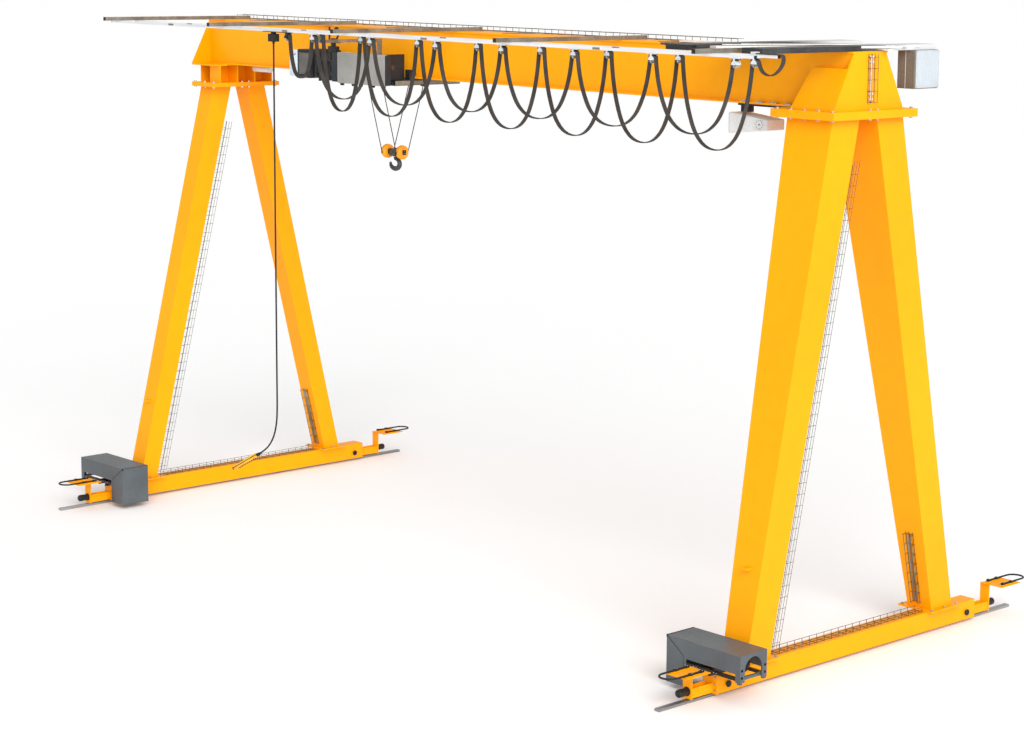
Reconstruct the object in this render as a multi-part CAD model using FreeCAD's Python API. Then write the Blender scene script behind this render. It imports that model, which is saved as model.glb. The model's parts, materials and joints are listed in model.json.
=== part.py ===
import FreeCAD, Part
import math
import os

# Single-girder A-frame gantry crane, millimetres.
# X runs along the girder, Y along the rails, Z up. The origin is on the ground,
# midway between the two rails. +X is the rigid leg side, -X the slender leg side.

V = FreeCAD.Vector

# ---------------- driving dimensions ----------------
SPAN = 12000.0            # rail centre to rail centre
RAIL_LENGTH = 6120.0
RAIL_W, RAIL_H = 70.0, 30.0

SILL_HALF = 2240.0        # half length of a sill beam
SILL_W, SILL_H = 216.0, 226.0
SILL_WALL = 8.0
SILL_LIFT = 10.0          # sill underside above the rail
SILL_END_T = 20.0

WHEEL_R, WHEEL_W = 100.0, 62.0
WHEEL_Y = 2090.0          # wheel axle from the middle of the sill
WHEEL_GAP = 0.2           # wheel tread above the rail
AXLE_R, AXLE_CLEAR = 26.0, 0.05
AXLE_STICKOUT = 16.0

FOOT_T, FOOT_MARGIN = 20.0, 80.0
RIGID_TOP_Z = 6160.0      # underside of the rigid side's head plate
SLENDER_TOP_Z = 5924.0    # underside of the slender side's head plate
RIGID_OUT = 108.0         # rigid leg's outer face from the rail centre
RIGID_IN_FOOT, RIGID_IN_TOP = 250.0, 557.0
RIGID_Y_FOOT = (1415.0, 1800.0)
RIGID_Y_TOP = (148.0, 601.0)
SLENDER_X = (-192.0, 108.0)
SLENDER_Y_FOOT = (1511.0, 1785.0)
SLENDER_Y_TOP = (140.0, 450.0)

HEAD_T = 45.0             # each of the two bolted plates on the rigid side
HEAD_X = (-704.0, 224.0)
HEAD_HALF_Y = 718.0
SEAT_T = 30.0             # each of the two bolted plates on the slender side
SEAT_X = (-240.0, 300.0)
SEAT_HALF_Y = 580.0

GIRDER_X = (-6220.0, 6110.0)
GIRDER_HALF_W = 278.0
FLANGE_OVER = 62.0
FLANGE_T = 20.0
GIRDER_WEB_H = 605.0
WEB_T = 10.0
END_T = 20.0
END_HALF_FOOT = 585.0
HAUNCH_L = 610.0
HAUNCH_H = 440.0
HAUNCH_LEAN = 110.0
HAUNCH_TOP_OUT = 92.0

YOKE_HALF_Y = 460.0
YOKE_X = (-190.0, 300.0)
YOKE_T = 16.0

ARM_X = (-5790.0, -3270.0, -600.0, 2460.0, 5630.0)
ARM_TIP_Y = -2300.0
ARM_SIZE, ARM_WALL = 50.0, 4.0
RAIL_A_Y, RAIL_B_Y = -2050.0, -1750.0     # pendant rail and trolley supply rail
RAIL_A_X = (-5980.0, 6280.0)
RAIL_B_X = (-5840.0, 6340.0)
C_W, C_H, C_T, C_SLOT = 34.0, 32.0, 3.0, 12.0

BOLT_R, BOLT_HEAD = 20.0, 18.0
LUG_W, LUG_OUT, LUG_T, LUG_EYE_R = 80.0, 75.0, 30.0, 14.0
LUG_AT = {"left": (1390.0, -40.0), "right": (1290.0, -70.0)}    # height, offset from the rail

# ---------------- derived levels ----------------
HALF = SPAN / 2.0
SILL_Z0 = RAIL_H + SILL_LIFT
SILL_TOP = SILL_Z0 + SILL_H
FOOT_TOP = SILL_TOP + FOOT_T
WHEEL_Z = RAIL_H + WHEEL_GAP + WHEEL_R
GIRDER_Z0 = RIGID_TOP_Z + 2 * HEAD_T
WEB_Z0 = GIRDER_Z0 + FLANGE_T
WEB_Z1 = WEB_Z0 + GIRDER_WEB_H
GIRDER_TOP = WEB_Z1 + FLANGE_T
SEAT_TOP = SLENDER_TOP_Z + 2 * SEAT_T
ARM_Z1 = GIRDER_TOP + ARM_SIZE

parts = {}


def box(x0, x1, y0, y1, z0, z1):
    return Part.makeBox(abs(x1 - x0), abs(y1 - y0), abs(z1 - z0),
                        V(min(x0, x1), min(y0, y1), min(z0, z1)))


def cyl(centre, axis, r, length):
    """Cylinder centred on a point, lying along an axis."""
    a = V(*axis)
    a.normalize()
    return Part.makeCylinder(r, length, V(*centre) - a * (length / 2.0), a)


def plate(points, normal_vec):
    """Closed polygon pushed along a vector."""
    wire = Part.makePolygon([V(*p) for p in points] + [V(*points[0])])
    return Part.Face(wire).extrude(V(*normal_vec))


def frustum(rect0, z0, rect1, z1):
    """Straight-sided solid between two level rectangles (x0, x1, y0, y1)."""
    def ring(r, z):
        p = [V(r[0], r[2], z), V(r[1], r[2], z), V(r[1], r[3], z), V(r[0], r[3], z)]
        return Part.makePolygon(p + [p[0]])
    return Part.makeLoft([ring(rect0, z0), ring(rect1, z1)], True, True)


def mirror_y(shape):
    return shape.mirror(V(0, 0, 0), V(0, 1, 0))


def mirror_x(shape):
    return shape.mirror(V(0, 0, 0), V(1, 0, 0))


def bolts(points, top_z, bottom_z, r=BOLT_R, head=BOLT_HEAD):
    """Hexagon heads above a joint and nuts below it."""
    out = []
    for x, y in points:
        for z0, h in ((top_z, head), (bottom_z, -head)):
            ring = [V(x + r * math.cos(math.radians(60 * k)),
                      y + r * math.sin(math.radians(60 * k)), z0) for k in range(6)]
            out.append(Part.Face(Part.makePolygon(ring + [ring[0]])).extrude(V(0, 0, h)))
    return Part.makeCompound(out)


def save(name, shape):
    parts[name] = shape


# ---------------- runway ----------------
for side, sx in (("left", -1), ("right", 1)):
    xc = sx * HALF
    save("rail_" + side, box(xc - RAIL_W / 2, xc + RAIL_W / 2,
                             -RAIL_LENGTH / 2, RAIL_LENGTH / 2, 0, RAIL_H))

# ---------------- sill beams and wheels ----------------
for side, sx in (("left", -1), ("right", 1)):
    xc = sx * HALF
    sill = box(xc - SILL_W / 2, xc + SILL_W / 2, -SILL_HALF, SILL_HALF, SILL_Z0, SILL_TOP)
    cavity = box(xc - SILL_W / 2 + SILL_WALL, xc + SILL_W / 2 - SILL_WALL,
                 -SILL_HALF + SILL_END_T, SILL_HALF - SILL_END_T,
                 SILL_Z0 + SILL_WALL, SILL_TOP - SILL_WALL)
    sill = sill.cut(cavity)
    for end, sy in (("near", -1), ("far", 1)):
        yw = sy * WHEEL_Y
        slot = box(xc - WHEEL_W / 2 - 10, xc + WHEEL_W / 2 + 10,
                   yw - WHEEL_R - 12, yw + WHEEL_R + 12, SILL_Z0 - 1, SILL_Z0 + SILL_WALL + 1)
        hole = cyl((xc, yw, WHEEL_Z), (1, 0, 0), AXLE_R + AXLE_CLEAR, SILL_W + 40)
        sill = sill.cut(slot).cut(hole)
        tread = cyl((xc, yw, WHEEL_Z), (1, 0, 0), WHEEL_R, WHEEL_W)
        axle = cyl((xc, yw, WHEEL_Z), (1, 0, 0), AXLE_R, SILL_W + 2 * AXLE_STICKOUT)
        save("wheel_%s_%s" % (side, end), tread.fuse(axle))
    save("sill_" + side, sill)

# ---------------- legs with foot plates ----------------
for side, sx in (("left", -1), ("right", 1)):
    xc = sx * HALF
    if side == "right":
        x_foot = (xc - RIGID_IN_FOOT, xc + RIGID_OUT)
        x_top = (xc - RIGID_IN_TOP, xc + RIGID_OUT)
        y_foot, y_top, z_top = RIGID_Y_FOOT, RIGID_Y_TOP, RIGID_TOP_Z
    else:
        x_foot = x_top = (xc + SLENDER_X[0], xc + SLENDER_X[1])
        y_foot, y_top, z_top = SLENDER_Y_FOOT, SLENDER_Y_TOP, SLENDER_TOP_Z
    leg = frustum((x_foot[0], x_foot[1], y_foot[0], y_foot[1]), FOOT_TOP,
                  (x_top[0], x_top[1], y_top[0], y_top[1]), z_top)
    foot = box(x_foot[0] - FOOT_MARGIN, x_foot[1] + FOOT_MARGIN,
               y_foot[0] - FOOT_MARGIN, y_foot[1] + FOOT_MARGIN, SILL_TOP, FOOT_TOP)
    far_leg = leg.fuse(foot).removeSplitter()
    save("leg_%s_far" % side, far_leg)
    z_lug, x_lug = LUG_AT[side][0], xc + LUG_AT[side][1]
    y_lug = y_foot[1] + (y_top[1] - y_foot[1]) * (z_lug - FOOT_TOP) / (z_top - FOOT_TOP)
    lug = box(x_lug - LUG_W / 2, x_lug + LUG_W / 2, y_lug - 60, y_lug + LUG_OUT,
              z_lug - LUG_T / 2, z_lug + LUG_T / 2)
    eye = Part.makeCylinder(LUG_EYE_R, LUG_T + 2, V(x_lug, y_lug + LUG_OUT - 28, z_lug - LUG_T / 2 - 1))
    save("leg_%s_near" % side, mirror_y(far_leg.fuse(lug.cut(eye)).removeSplitter()))

# ---------------- head plates, yoke and girder ----------------
HP = (HALF + HEAD_X[0], HALF + HEAD_X[1])
save("head_plates_right", Part.makeCompound([
    box(HP[0], HP[1], -HEAD_HALF_Y, HEAD_HALF_Y, RIGID_TOP_Z + k * HEAD_T,
        RIGID_TOP_Z + (k + 1) * HEAD_T) for k in range(2)]))
SP = (-HALF + SEAT_X[0], -HALF + SEAT_X[1])
save("head_plate_left", box(SP[0], SP[1], -SEAT_HALF_Y, SEAT_HALF_Y,
                            SLENDER_TOP_Z, SLENDER_TOP_Z + SEAT_T))
YX = (-HALF + YOKE_X[0], -HALF + YOKE_X[1])
yoke = box(SP[0], SP[1], -SEAT_HALF_Y, SEAT_HALF_Y, SLENDER_TOP_Z + SEAT_T, SEAT_TOP)
yoke = yoke.fuse(box(SP[0], SP[1], -SEAT_HALF_Y, SEAT_HALF_Y, GIRDER_Z0 - FLANGE_T, GIRDER_Z0))
YOKE_WEB_X = (YX[0] + YX[1]) / 2.0
yoke = yoke.fuse(box(YX[0], YX[0] + YOKE_T, -YOKE_HALF_Y, YOKE_HALF_Y,
                     SEAT_TOP, GIRDER_Z0 - FLANGE_T))
yoke = yoke.fuse(box(YOKE_WEB_X - YOKE_T / 2, YOKE_WEB_X + YOKE_T / 2, -YOKE_HALF_Y, YOKE_HALF_Y,
                     SEAT_TOP, GIRDER_Z0 - FLANGE_T))
for k in range(4):
    yk = -YOKE_HALF_Y + k * (2 * YOKE_HALF_Y - YOKE_T) / 3.0
    yoke = yoke.fuse(box(YOKE_WEB_X, YX[1], yk, yk + YOKE_T, SEAT_TOP, GIRDER_Z0 - FLANGE_T))
save("yoke_left", yoke.removeSplitter())

save("girder_bottom_flange", box(GIRDER_X[0], GIRDER_X[1], -GIRDER_HALF_W - FLANGE_OVER,
                                 GIRDER_HALF_W + FLANGE_OVER, GIRDER_Z0, WEB_Z0))
save("girder_top_flange", box(GIRDER_X[0], GIRDER_X[1], -GIRDER_HALF_W - 20,
                              GIRDER_HALF_W + 20, WEB_Z1, GIRDER_TOP))
web = box(GIRDER_X[0] + END_T, GIRDER_X[1] - END_T, -GIRDER_HALF_W, -GIRDER_HALF_W + WEB_T,
          WEB_Z0, WEB_Z1)
save("girder_webs", Part.makeCompound([web, mirror_y(web)]))


def end_plate(x0):
    """Trapezoid that closes a girder end and flares to the seat width."""
    return plate([(x0, -END_HALF_FOOT, WEB_Z0), (x0, END_HALF_FOOT, WEB_Z0),
                  (x0, GIRDER_HALF_W, WEB_Z1), (x0, -GIRDER_HALF_W, WEB_Z1)], (END_T, 0, 0))


end_plates = []
for x0 in (GIRDER_X[0], GIRDER_X[1] - END_T):
    # wide wings carry the flared end plate down to the seat on each side of the flange
    ep = end_plate(x0)
    for s in (-1, 1):
        y_in = s * (GIRDER_HALF_W + FLANGE_OVER)
        ep = ep.fuse(box(x0, x0 + END_T, y_in, s * END_HALF_FOOT, GIRDER_Z0, WEB_Z0))
    end_plates.append(ep.removeSplitter())
save("girder_ends", Part.makeCompound(end_plates))

haunch_x1 = GIRDER_X[1] - END_T
haunch = frustum((haunch_x1 - HAUNCH_L, haunch_x1, -END_HALF_FOOT, -GIRDER_HALF_W), WEB_Z0,
                 (haunch_x1 - HAUNCH_L + HAUNCH_LEAN, haunch_x1,
                  -GIRDER_HALF_W - HAUNCH_TOP_OUT, -GIRDER_HALF_W), WEB_Z0 + HAUNCH_H)
haunch = haunch.fuse(box(haunch_x1 - HAUNCH_L, haunch_x1, -END_HALF_FOOT,
                         -GIRDER_HALF_W - FLANGE_OVER, GIRDER_Z0, WEB_Z0))
haunch = haunch.removeSplitter()
save("haunches", Part.makeCompound([haunch, mirror_y(haunch)]))

# bolts of the two head joints and the four feet
pts_r = [(HP[0] + 60 + k * (HP[1] - HP[0] - 120) / 4.0, s * (HEAD_HALF_Y - 45))
         for k in range(5) for s in (-1, 1)]
pts_r += [(HP[1] - 45, s * 60.0) for s in (-1, 1)]
pts_l = [(x, s * (SEAT_HALF_Y - 40)) for x in (SP[0] + 25, (SP[0] + SP[1]) / 2, SP[1] - 45)
         for s in (-1, 1)]
pts_l += [(SP[1] - 28, s * 60.0) for s in (-1, 1)]
save("head_bolts", Part.makeCompound([bolts(pts_r, GIRDER_Z0, RIGID_TOP_Z),
                                      bolts(pts_l, SEAT_TOP, SLENDER_TOP_Z)]))

# ---------------- festoon arms and rails ----------------
ARM_ROOT_Y = 130.0
arms = []
for xa in ARM_X:
    arm = box(xa - ARM_SIZE / 2, xa + ARM_SIZE / 2, ARM_TIP_Y, ARM_ROOT_Y, GIRDER_TOP, ARM_Z1)
    arm = arm.cut(box(xa - ARM_SIZE / 2 + ARM_WALL, xa + ARM_SIZE / 2 - ARM_WALL,
                      ARM_TIP_Y - 1, ARM_ROOT_Y + 1, GIRDER_TOP + ARM_WALL, ARM_Z1 - ARM_WALL))
    arms.append(arm)
save("festoon_arms", Part.makeCompound(arms))
caps = [box(xa - ARM_SIZE / 2, xa + ARM_SIZE / 2, ARM_TIP_Y - 6, ARM_TIP_Y, GIRDER_TOP, ARM_Z1)
        for xa in ARM_X]
save("arm_end_caps", Part.makeCompound(caps))


def c_rail(x0, x1, yc):
    """Box rail with a slot along its underside, hung under the arms."""
    z1 = GIRDER_TOP
    r = box(x0, x1, yc - C_W / 2, yc + C_W / 2, z1 - C_H, z1)
    r = r.cut(box(x0 - 1, x1 + 1, yc - C_W / 2 + C_T, yc + C_W / 2 - C_T,
                  z1 - C_H + C_T, z1 - C_T))
    return r.cut(box(x0 - 1, x1 + 1, yc - C_SLOT / 2, yc + C_SLOT / 2,
                     z1 - C_H - 1, z1 - C_H + C_T + 1))


save("pendant_rail", c_rail(RAIL_A_X[0], RAIL_A_X[1], RAIL_A_Y))
save("supply_rail", c_rail(RAIL_B_X[0], RAIL_B_X[1], RAIL_B_Y))

# ---------------- flat-cable festoons ----------------
CARRIER_L, CARRIER_W, CARRIER_CLEAR = 130.0, 70.0, 0.3
SADDLE_R, SADDLE_W = 38.0, 74.0
CABLE_T, CABLE_W, CABLE_SEAT = 14.0, 60.0, 0.5
B_FIXED_X = 6010.0
B_PITCH = 1118.0
B_COUNT = 6
B_SAG, B_SAG_STEP = 890.0, 6.5               # loop depth at the trolley end, and its growth
A_SAG_FIRST, A_SAG, A_SAG_STEP = 490.0, 707.0, 8.5
TAIL_END_X = 6030.0
A_X = (-1300.0, -130.0, 1130.0, 2320.0, 3540.0, 4780.0, 6010.0)
A_START_X = -1850.0
RAIL_UNDER = GIRDER_TOP - C_H
CARRIER_Z1 = RAIL_UNDER - CARRIER_CLEAR
SADDLE_Z = CARRIER_Z1 - 30.0 - SADDLE_R      # centre of the half-round saddle
B_X = [B_FIXED_X - B_PITCH * (k + 1) for k in range(B_COUNT)]
B_START_X = B_X[-1] - 850.0                  # end on the trolley's tow arm


def carrier(xc, yc):
    """Flat carriage under the rail with a half-round saddle and a stem in the slot."""
    body = box(xc - CARRIER_L / 2, xc + CARRIER_L / 2, yc - CARRIER_W / 2, yc + CARRIER_W / 2,
               CARRIER_Z1 - 8, CARRIER_Z1)
    stem = box(xc - 40, xc + 40, yc - C_SLOT / 2 + 1.5, yc + C_SLOT / 2 - 1.5,
               CARRIER_Z1 - 1, RAIL_UNDER + C_T + 1)
    head = box(xc - 40, xc + 40, yc - C_W / 2 + C_T + 1, yc + C_W / 2 - C_T - 1,
               RAIL_UNDER + C_T + 0.3, GIRDER_TOP - C_T - 3)
    half = cyl((xc, yc, SADDLE_Z), (0, 1, 0), SADDLE_R, SADDLE_W)
    half = half.cut(box(xc - 60, xc + 60, yc - 60, yc + 60, SADDLE_Z - 80, SADDLE_Z - 6))
    for s in (-1, 1):
        half = half.fuse(box(xc - 12, xc + 12, yc + s * (CABLE_W / 2 + 2), yc + s * SADDLE_W / 2,
                             SADDLE_Z, CARRIER_Z1))
    return body.fuse(stem).fuse(head).fuse(half).removeSplitter()


for k, xb in enumerate(B_X):
    save("supply_carrier_%d" % (k + 1), carrier(xb, RAIL_B_Y))
tail_clamp = box(TAIL_END_X - 60, TAIL_END_X, RAIL_B_Y - 38, RAIL_B_Y + 38,
                 GIRDER_TOP, GIRDER_TOP + 26)
save("pendant_carriers", Part.makeCompound([carrier(x, RAIL_A_Y) for x in A_X]
                                           + [carrier(B_FIXED_X, RAIL_B_Y), tail_clamp]))


def drape(x0, x1, sag, n=9):
    """Points of one hanging loop between two saddles, as on a flat cable."""
    pts = []
    r = SADDLE_R + CABLE_T / 2 + CABLE_SEAT
    a, b = x0 + r, x1 - r
    for i in range(n):
        u = i / (n - 1.0)
        x = a + (b - a) * (0.5 - 0.5 * math.cos(math.pi * u))
        w = abs(2 * u - 1)
        z = SADDLE_Z - sag * (1 - w ** 2.6)
        pts.append((x, z))
    return pts


def ribbon(path, yc):
    """Band of constant thickness around a centreline in the XZ plane."""
    left, right = [], []
    n = len(path)
    for i, (x, z) in enumerate(path):
        xa, za = path[max(i - 1, 0)]
        xb, zb = path[min(i + 1, n - 1)]
        step = math.hypot(xb - xa, zb - za)
        nx, nz = -(zb - za) / step, (xb - xa) / step
        left.append((x + nx * CABLE_T / 2, yc - CABLE_W / 2, z + nz * CABLE_T / 2))
        right.append((x - nx * CABLE_T / 2, yc - CABLE_W / 2, z - nz * CABLE_T / 2))
    return plate(left + right[::-1], (0, CABLE_W, 0))


def festoon_path(xs, sags):
    """Centreline over every saddle and down through every loop."""
    path = []
    r = SADDLE_R + CABLE_T / 2 + CABLE_SEAT
    for i in range(len(xs) - 1):
        for t in (90, 75, 60, 45, 30, 15):
            path.append((xs[i] + r * math.cos(math.radians(t)),
                         SADDLE_Z + r * math.sin(math.radians(t))))
        path += drape(xs[i], xs[i + 1], sags[i])
        for t in (165, 150, 135, 120, 105):
            path.append((xs[i + 1] + r * math.cos(math.radians(t)),
                         SADDLE_Z + r * math.sin(math.radians(t))))
    path.append((xs[-1], SADDLE_Z + r))
    return path


b_xs = [B_START_X] + sorted(B_X) + [B_FIXED_X]
a_xs = [A_START_X] + list(A_X)
b_path = festoon_path(b_xs, [B_SAG + B_SAG_STEP * k for k in range(len(b_xs) - 1)])
a_path = festoon_path(a_xs, [A_SAG_FIRST] + [A_SAG + A_SAG_STEP * k for k in range(len(a_xs) - 2)])
# past its last saddle the supply cable drops in a small loop and turns back along the rail's top
TAIL_Z = GIRDER_TOP + CABLE_T / 2 + CABLE_SEAT
TAIL = [(6080, 6745), (6130, 6705), (6190, 6686), (6250, 6690), (6320, 6722), (6375, 6775),
        (6405, 6835), (6407, 6870), (6390, 6895)]
SADDLE_REACH = SADDLE_R + CABLE_T / 2 + CABLE_SEAT
for t in (75, 60, 45, 30):
    b_path.append((B_FIXED_X + SADDLE_REACH * math.cos(math.radians(t)),
                   SADDLE_Z + SADDLE_REACH * math.sin(math.radians(t))))
b_path += TAIL + [(6355, TAIL_Z), (TAIL_END_X, TAIL_Z)]
save("supply_cable", ribbon(b_path, RAIL_B_Y))
save("pendant_cable", ribbon(a_path, RAIL_A_Y))


def run_length(path):
    return sum(math.hypot(b[0] - a[0], b[1] - a[1]) for a, b in zip(path, path[1:]))


print("supply cable length %.0f, pendant cable length %.0f" % (run_length(b_path),
                                                               run_length(a_path)))

# pendant trolley, its junction box, the cord and the control pendant
PEND_X = -2165.0
BOX_DROP = 128.0                         # underside of the junction box below the rail
pend_box = box(PEND_X - 62, PEND_X + 62, RAIL_A_Y - 45, RAIL_A_Y + 45,
               CARRIER_Z1 - BOX_DROP, CARRIER_Z1 - 30)
pend_trolley = box(PEND_X - 190, A_START_X + 60, RAIL_A_Y - CARRIER_W / 2,
                   RAIL_A_Y + CARRIER_W / 2, CARRIER_Z1 - 8, CARRIER_Z1)
pend_neck = box(PEND_X - 30, PEND_X + 30, RAIL_A_Y - 20, RAIL_A_Y + 20,
                CARRIER_Z1 - 31, CARRIER_Z1 - 7)
start = carrier(A_START_X, RAIL_A_Y)
save("pendant_trolley", pend_trolley.fuse(start).fuse(pend_neck).fuse(pend_box).removeSplitter())

CORD_R = 11.0
CORD_PTS = [(PEND_X, CARRIER_Z1 - BOX_DROP), (-2163, 4600), (-2160, 2110), (-2160, 1930), (-2170, 1760),
            (-2205, 1610), (-2270, 1480), (-2365, 1370), (-2480, 1290), (-2600, 1225)]


def tube(points, yc, r):
    """Round cord along straight runs joined by tangent arcs."""
    pts = [V(x, yc, z) for x, z in points]
    edges, last, radii = [], pts[0], []
    for i in range(1, len(pts) - 1):
        a, b, c = pts[i - 1], pts[i], pts[i + 1]
        u, w = (a - b), (c - b)
        lu, lw = u.Length, w.Length
        u.normalize()
        w.normalize()
        turn = math.pi - u.getAngle(w)
        t = 0.45 * min(lu, lw)
        rad = t / math.tan(turn / 2.0)
        p, q = b + u * t, b + w * t
        bis = u + w
        bis.normalize()
        centre = b + bis * (rad / math.cos(turn / 2.0))
        mid = centre - bis * rad
        edges.append(Part.LineSegment(last, p).toShape())
        edges.append(Part.Arc(p, mid, q).toShape())
        radii.append(round(rad))
        last = q
    edges.append(Part.LineSegment(last, pts[-1]).toShape())
    wire = Part.Wire(edges)
    d = edges[0].tangentAt(edges[0].FirstParameter)
    ring = Part.Wire([Part.makeCircle(r, pts[0], d)])
    solid = wire.makePipeShell([ring], True, False)
    print("cord radii", radii, "length %.0f" % wire.Length,
          "volume ratio %.4f" % (solid.Volume / (math.pi * r * r * wire.Length)))
    return solid


save("pendant_cord", tube(CORD_PTS, RAIL_A_Y, CORD_R))

# control pendant, hanging at a slant from the cord
P0, P1 = V(CORD_PTS[-1][0], RAIL_A_Y, CORD_PTS[-1][1]), V(-3170, RAIL_A_Y, 935)
pd = P1 - P0
plen = pd.Length
pendant = Part.makeBox(plen, 64, 66, V(0, -32, -33))
pendant = pendant.makeChamfer(14, [e for e in pendant.Edges
                                   if abs(e.tangentAt(e.FirstParameter).x) > 0.9])
pendant.Placement = FreeCAD.Placement(P0, FreeCAD.Rotation(V(1, 0, 0), pd))
save("control_pendant", pendant)

# ---------------- hoist trolley ----------------
TR_BEAM_X = (-2960.0, -1480.0)
TR_BEAM_W, TR_BEAM_H = 90.0, 70.0
TR_Z1 = GIRDER_Z0 - 22.0
TR_Z0 = TR_Z1 - TR_BEAM_H
TR_NEAR_Y, TR_FAR_Y = -640.0, 470.0
ROLLER_R, ROLLER_W, ROLLER_LIFT, ROLLER_PIN_R = 45.0, 40.0, 0.2, 14.0
HANGER_OUT = 45.0                        # hanger plate's middle beyond the flange edge
frame = None
for xb in TR_BEAM_X:
    b = box(xb - TR_BEAM_W / 2, xb + TR_BEAM_W / 2, TR_NEAR_Y, TR_FAR_Y, TR_Z0, TR_Z1)
    frame = b if frame is None else frame.fuse(b)
    for s in (-1, 1):
        yp = s * (GIRDER_HALF_W + FLANGE_OVER + HANGER_OUT)
        frame = frame.fuse(box(xb - TR_BEAM_W / 2, xb + TR_BEAM_W / 2, yp - 12, yp + 12,
                               TR_Z0, WEB_Z0 + 95))
for xb in TR_BEAM_X:
    for s in (-1, 1):
        yp = s * (GIRDER_HALF_W + FLANGE_OVER + HANGER_OUT)
        frame = frame.cut(cyl((xb, yp, WEB_Z0 + ROLLER_LIFT + ROLLER_R), (0, 1, 0), ROLLER_PIN_R, 60))
rollers = []
for xb in TR_BEAM_X:
    for s in (-1, 1):
        yw = s * (GIRDER_HALF_W + 8 + ROLLER_W / 2)
        zc = WEB_Z0 + ROLLER_LIFT + ROLLER_R
        rollers.append(cyl((xb, yw, zc), (0, 1, 0), ROLLER_R, ROLLER_W).fuse(
            cyl((xb, s * (GIRDER_HALF_W + FLANGE_OVER + 18), zc), (0, 1, 0), ROLLER_PIN_R, 100)))
save("trolley_rollers", Part.makeCompound(rollers))

DRUM_Y, DRUM_Z, DRUM_R = -600.0, 6395.0, 138.0
DRUM_FLANGE_R, DRUM_FLANGE_T = 162.0, 24.0
GEAR_X = (-3480.0, -2960.0 - TR_BEAM_W / 2)
PANEL_X = (-2370.0, -1340.0)
HOIST_Z = (6180.0, 6585.0)
gear = box(GEAR_X[0], GEAR_X[1], -850, -440, HOIST_Z[0] + 20, HOIST_Z[1] - 20)
save("hoist_gearbox", gear)

# two cheeks on the inner faces of the trolley beams carry the drum's shaft
CHEEK_T, SHAFT_R, SHAFT_CLEAR = 22.0, 32.0, 0.05
CHEEK_Y = (-775.0, -410.0)
CHX = (TR_BEAM_X[0] + TR_BEAM_W / 2, TR_BEAM_X[1] - TR_BEAM_W / 2)
for x0, s in ((CHX[0], 1), (CHX[1], -1)):
    c = box(x0, x0 + s * CHEEK_T, CHEEK_Y[0], CHEEK_Y[1], TR_Z0, HOIST_Z[1] - 20)
    frame = frame.fuse(c.cut(cyl((x0, DRUM_Y, DRUM_Z), (1, 0, 0), SHAFT_R + SHAFT_CLEAR, 200)))
DX = (CHX[0] + CHEEK_T + 4, CHX[1] - CHEEK_T - 4)
drum = cyl(((DX[0] + DX[1]) / 2, DRUM_Y, DRUM_Z), (1, 0, 0), DRUM_R, DX[1] - DX[0])
for xd in (DX[0] + DRUM_FLANGE_T / 2, DX[1] - DRUM_FLANGE_T / 2):
    drum = drum.fuse(cyl((xd, DRUM_Y, DRUM_Z), (1, 0, 0), DRUM_FLANGE_R, DRUM_FLANGE_T))
drum = drum.fuse(cyl(((DX[0] + DX[1]) / 2, DRUM_Y, DRUM_Z), (1, 0, 0), SHAFT_R,
                     CHX[1] - CHX[0] - 4))
save("hoist_drum", drum.removeSplitter())
PANEL_BODY_X0 = -2540.0
save("hoist_panel", box(PANEL_BODY_X0, PANEL_X[1] - 10, -835, -775, HOIST_Z[0] - 10, HOIST_Z[1] - 20))
cover = box(PANEL_X[0], PANEL_X[1], -880, -835, HOIST_Z[0] - 20, HOIST_Z[1] - 15)
cover = cover.makeFillet(35, [e for e in cover.Edges if abs(e.tangentAt(e.FirstParameter).y) > 0.9])
save("hoist_panel_cover", cover)

# far side of the trolley: beam with the two return sheaves
RET_Y = 310.0
RET_R, RET_W, RET_DROP = 42.0, 46.0, 20.0
FALL_X = (-2330.0, -2020.0)
ret = box(TR_BEAM_X[0] + TR_BEAM_W / 2, TR_BEAM_X[1] - TR_BEAM_W / 2, RET_Y - 30, RET_Y + 30,
          TR_Z0, TR_Z1)
for xf in FALL_X:
    ret = ret.fuse(cyl((xf, RET_Y, TR_Z0 - RET_DROP), (1, 0, 0), RET_R, RET_W))
save("trolley_frame", frame.fuse(ret).removeSplitter())

# tow arm that pulls the supply cable's first saddle
half = cyl((B_START_X, RAIL_B_Y, SADDLE_Z), (0, 1, 0), SADDLE_R, SADDLE_W)
half = half.cut(box(B_START_X - 60, B_START_X + 60, RAIL_B_Y - 60, RAIL_B_Y + 60,
                    SADDLE_Z - 80, SADDLE_Z - 20))
TOW_ROOT_Z = HOIST_Z[1] - 20
tow = box(B_START_X - 20, B_START_X + 20, RAIL_B_Y - 37, -780, SADDLE_Z - 60, SADDLE_Z - 20)
tow = tow.fuse(half).fuse(box(B_START_X - 20, B_START_X + 20, -835, -780, TOW_ROOT_Z, SADDLE_Z - 20))
save("tow_arm", tow.removeSplitter())

# ---------------- hook block ----------------
HOOK_Y, HOOK_Z = -50.0, 5215.0
HOUSING_R, HOUSING_W = 96.0, 84.0
ROPE_R = 6.0
ROPE_LIFT = 0.5                          # air between a rope and the rim it runs on
CROSSHEAD_R, BLOCK_HALF = 30.0, 55.0
mid_x = (FALL_X[0] + FALL_X[1]) / 2
block = cyl((mid_x, HOOK_Y, HOOK_Z), (1, 0, 0), CROSSHEAD_R, FALL_X[1] - FALL_X[0] - HOUSING_W)
block = block.fuse(box(mid_x - BLOCK_HALF, mid_x + BLOCK_HALF, HOOK_Y - 45, HOOK_Y + 45,
                       HOOK_Z - 56, HOOK_Z + 40))
SHANK_R = 20.0
block = block.cut(Part.makeCylinder(SHANK_R + 0.05, 140, V(mid_x, HOOK_Y, HOOK_Z - 90)))
block = block.cut(Part.makeCylinder(SHANK_R + 12, 30, V(mid_x, HOOK_Y, HOOK_Z + 20)))
save("hook_crosshead", block.removeSplitter())
housings = []
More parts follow.
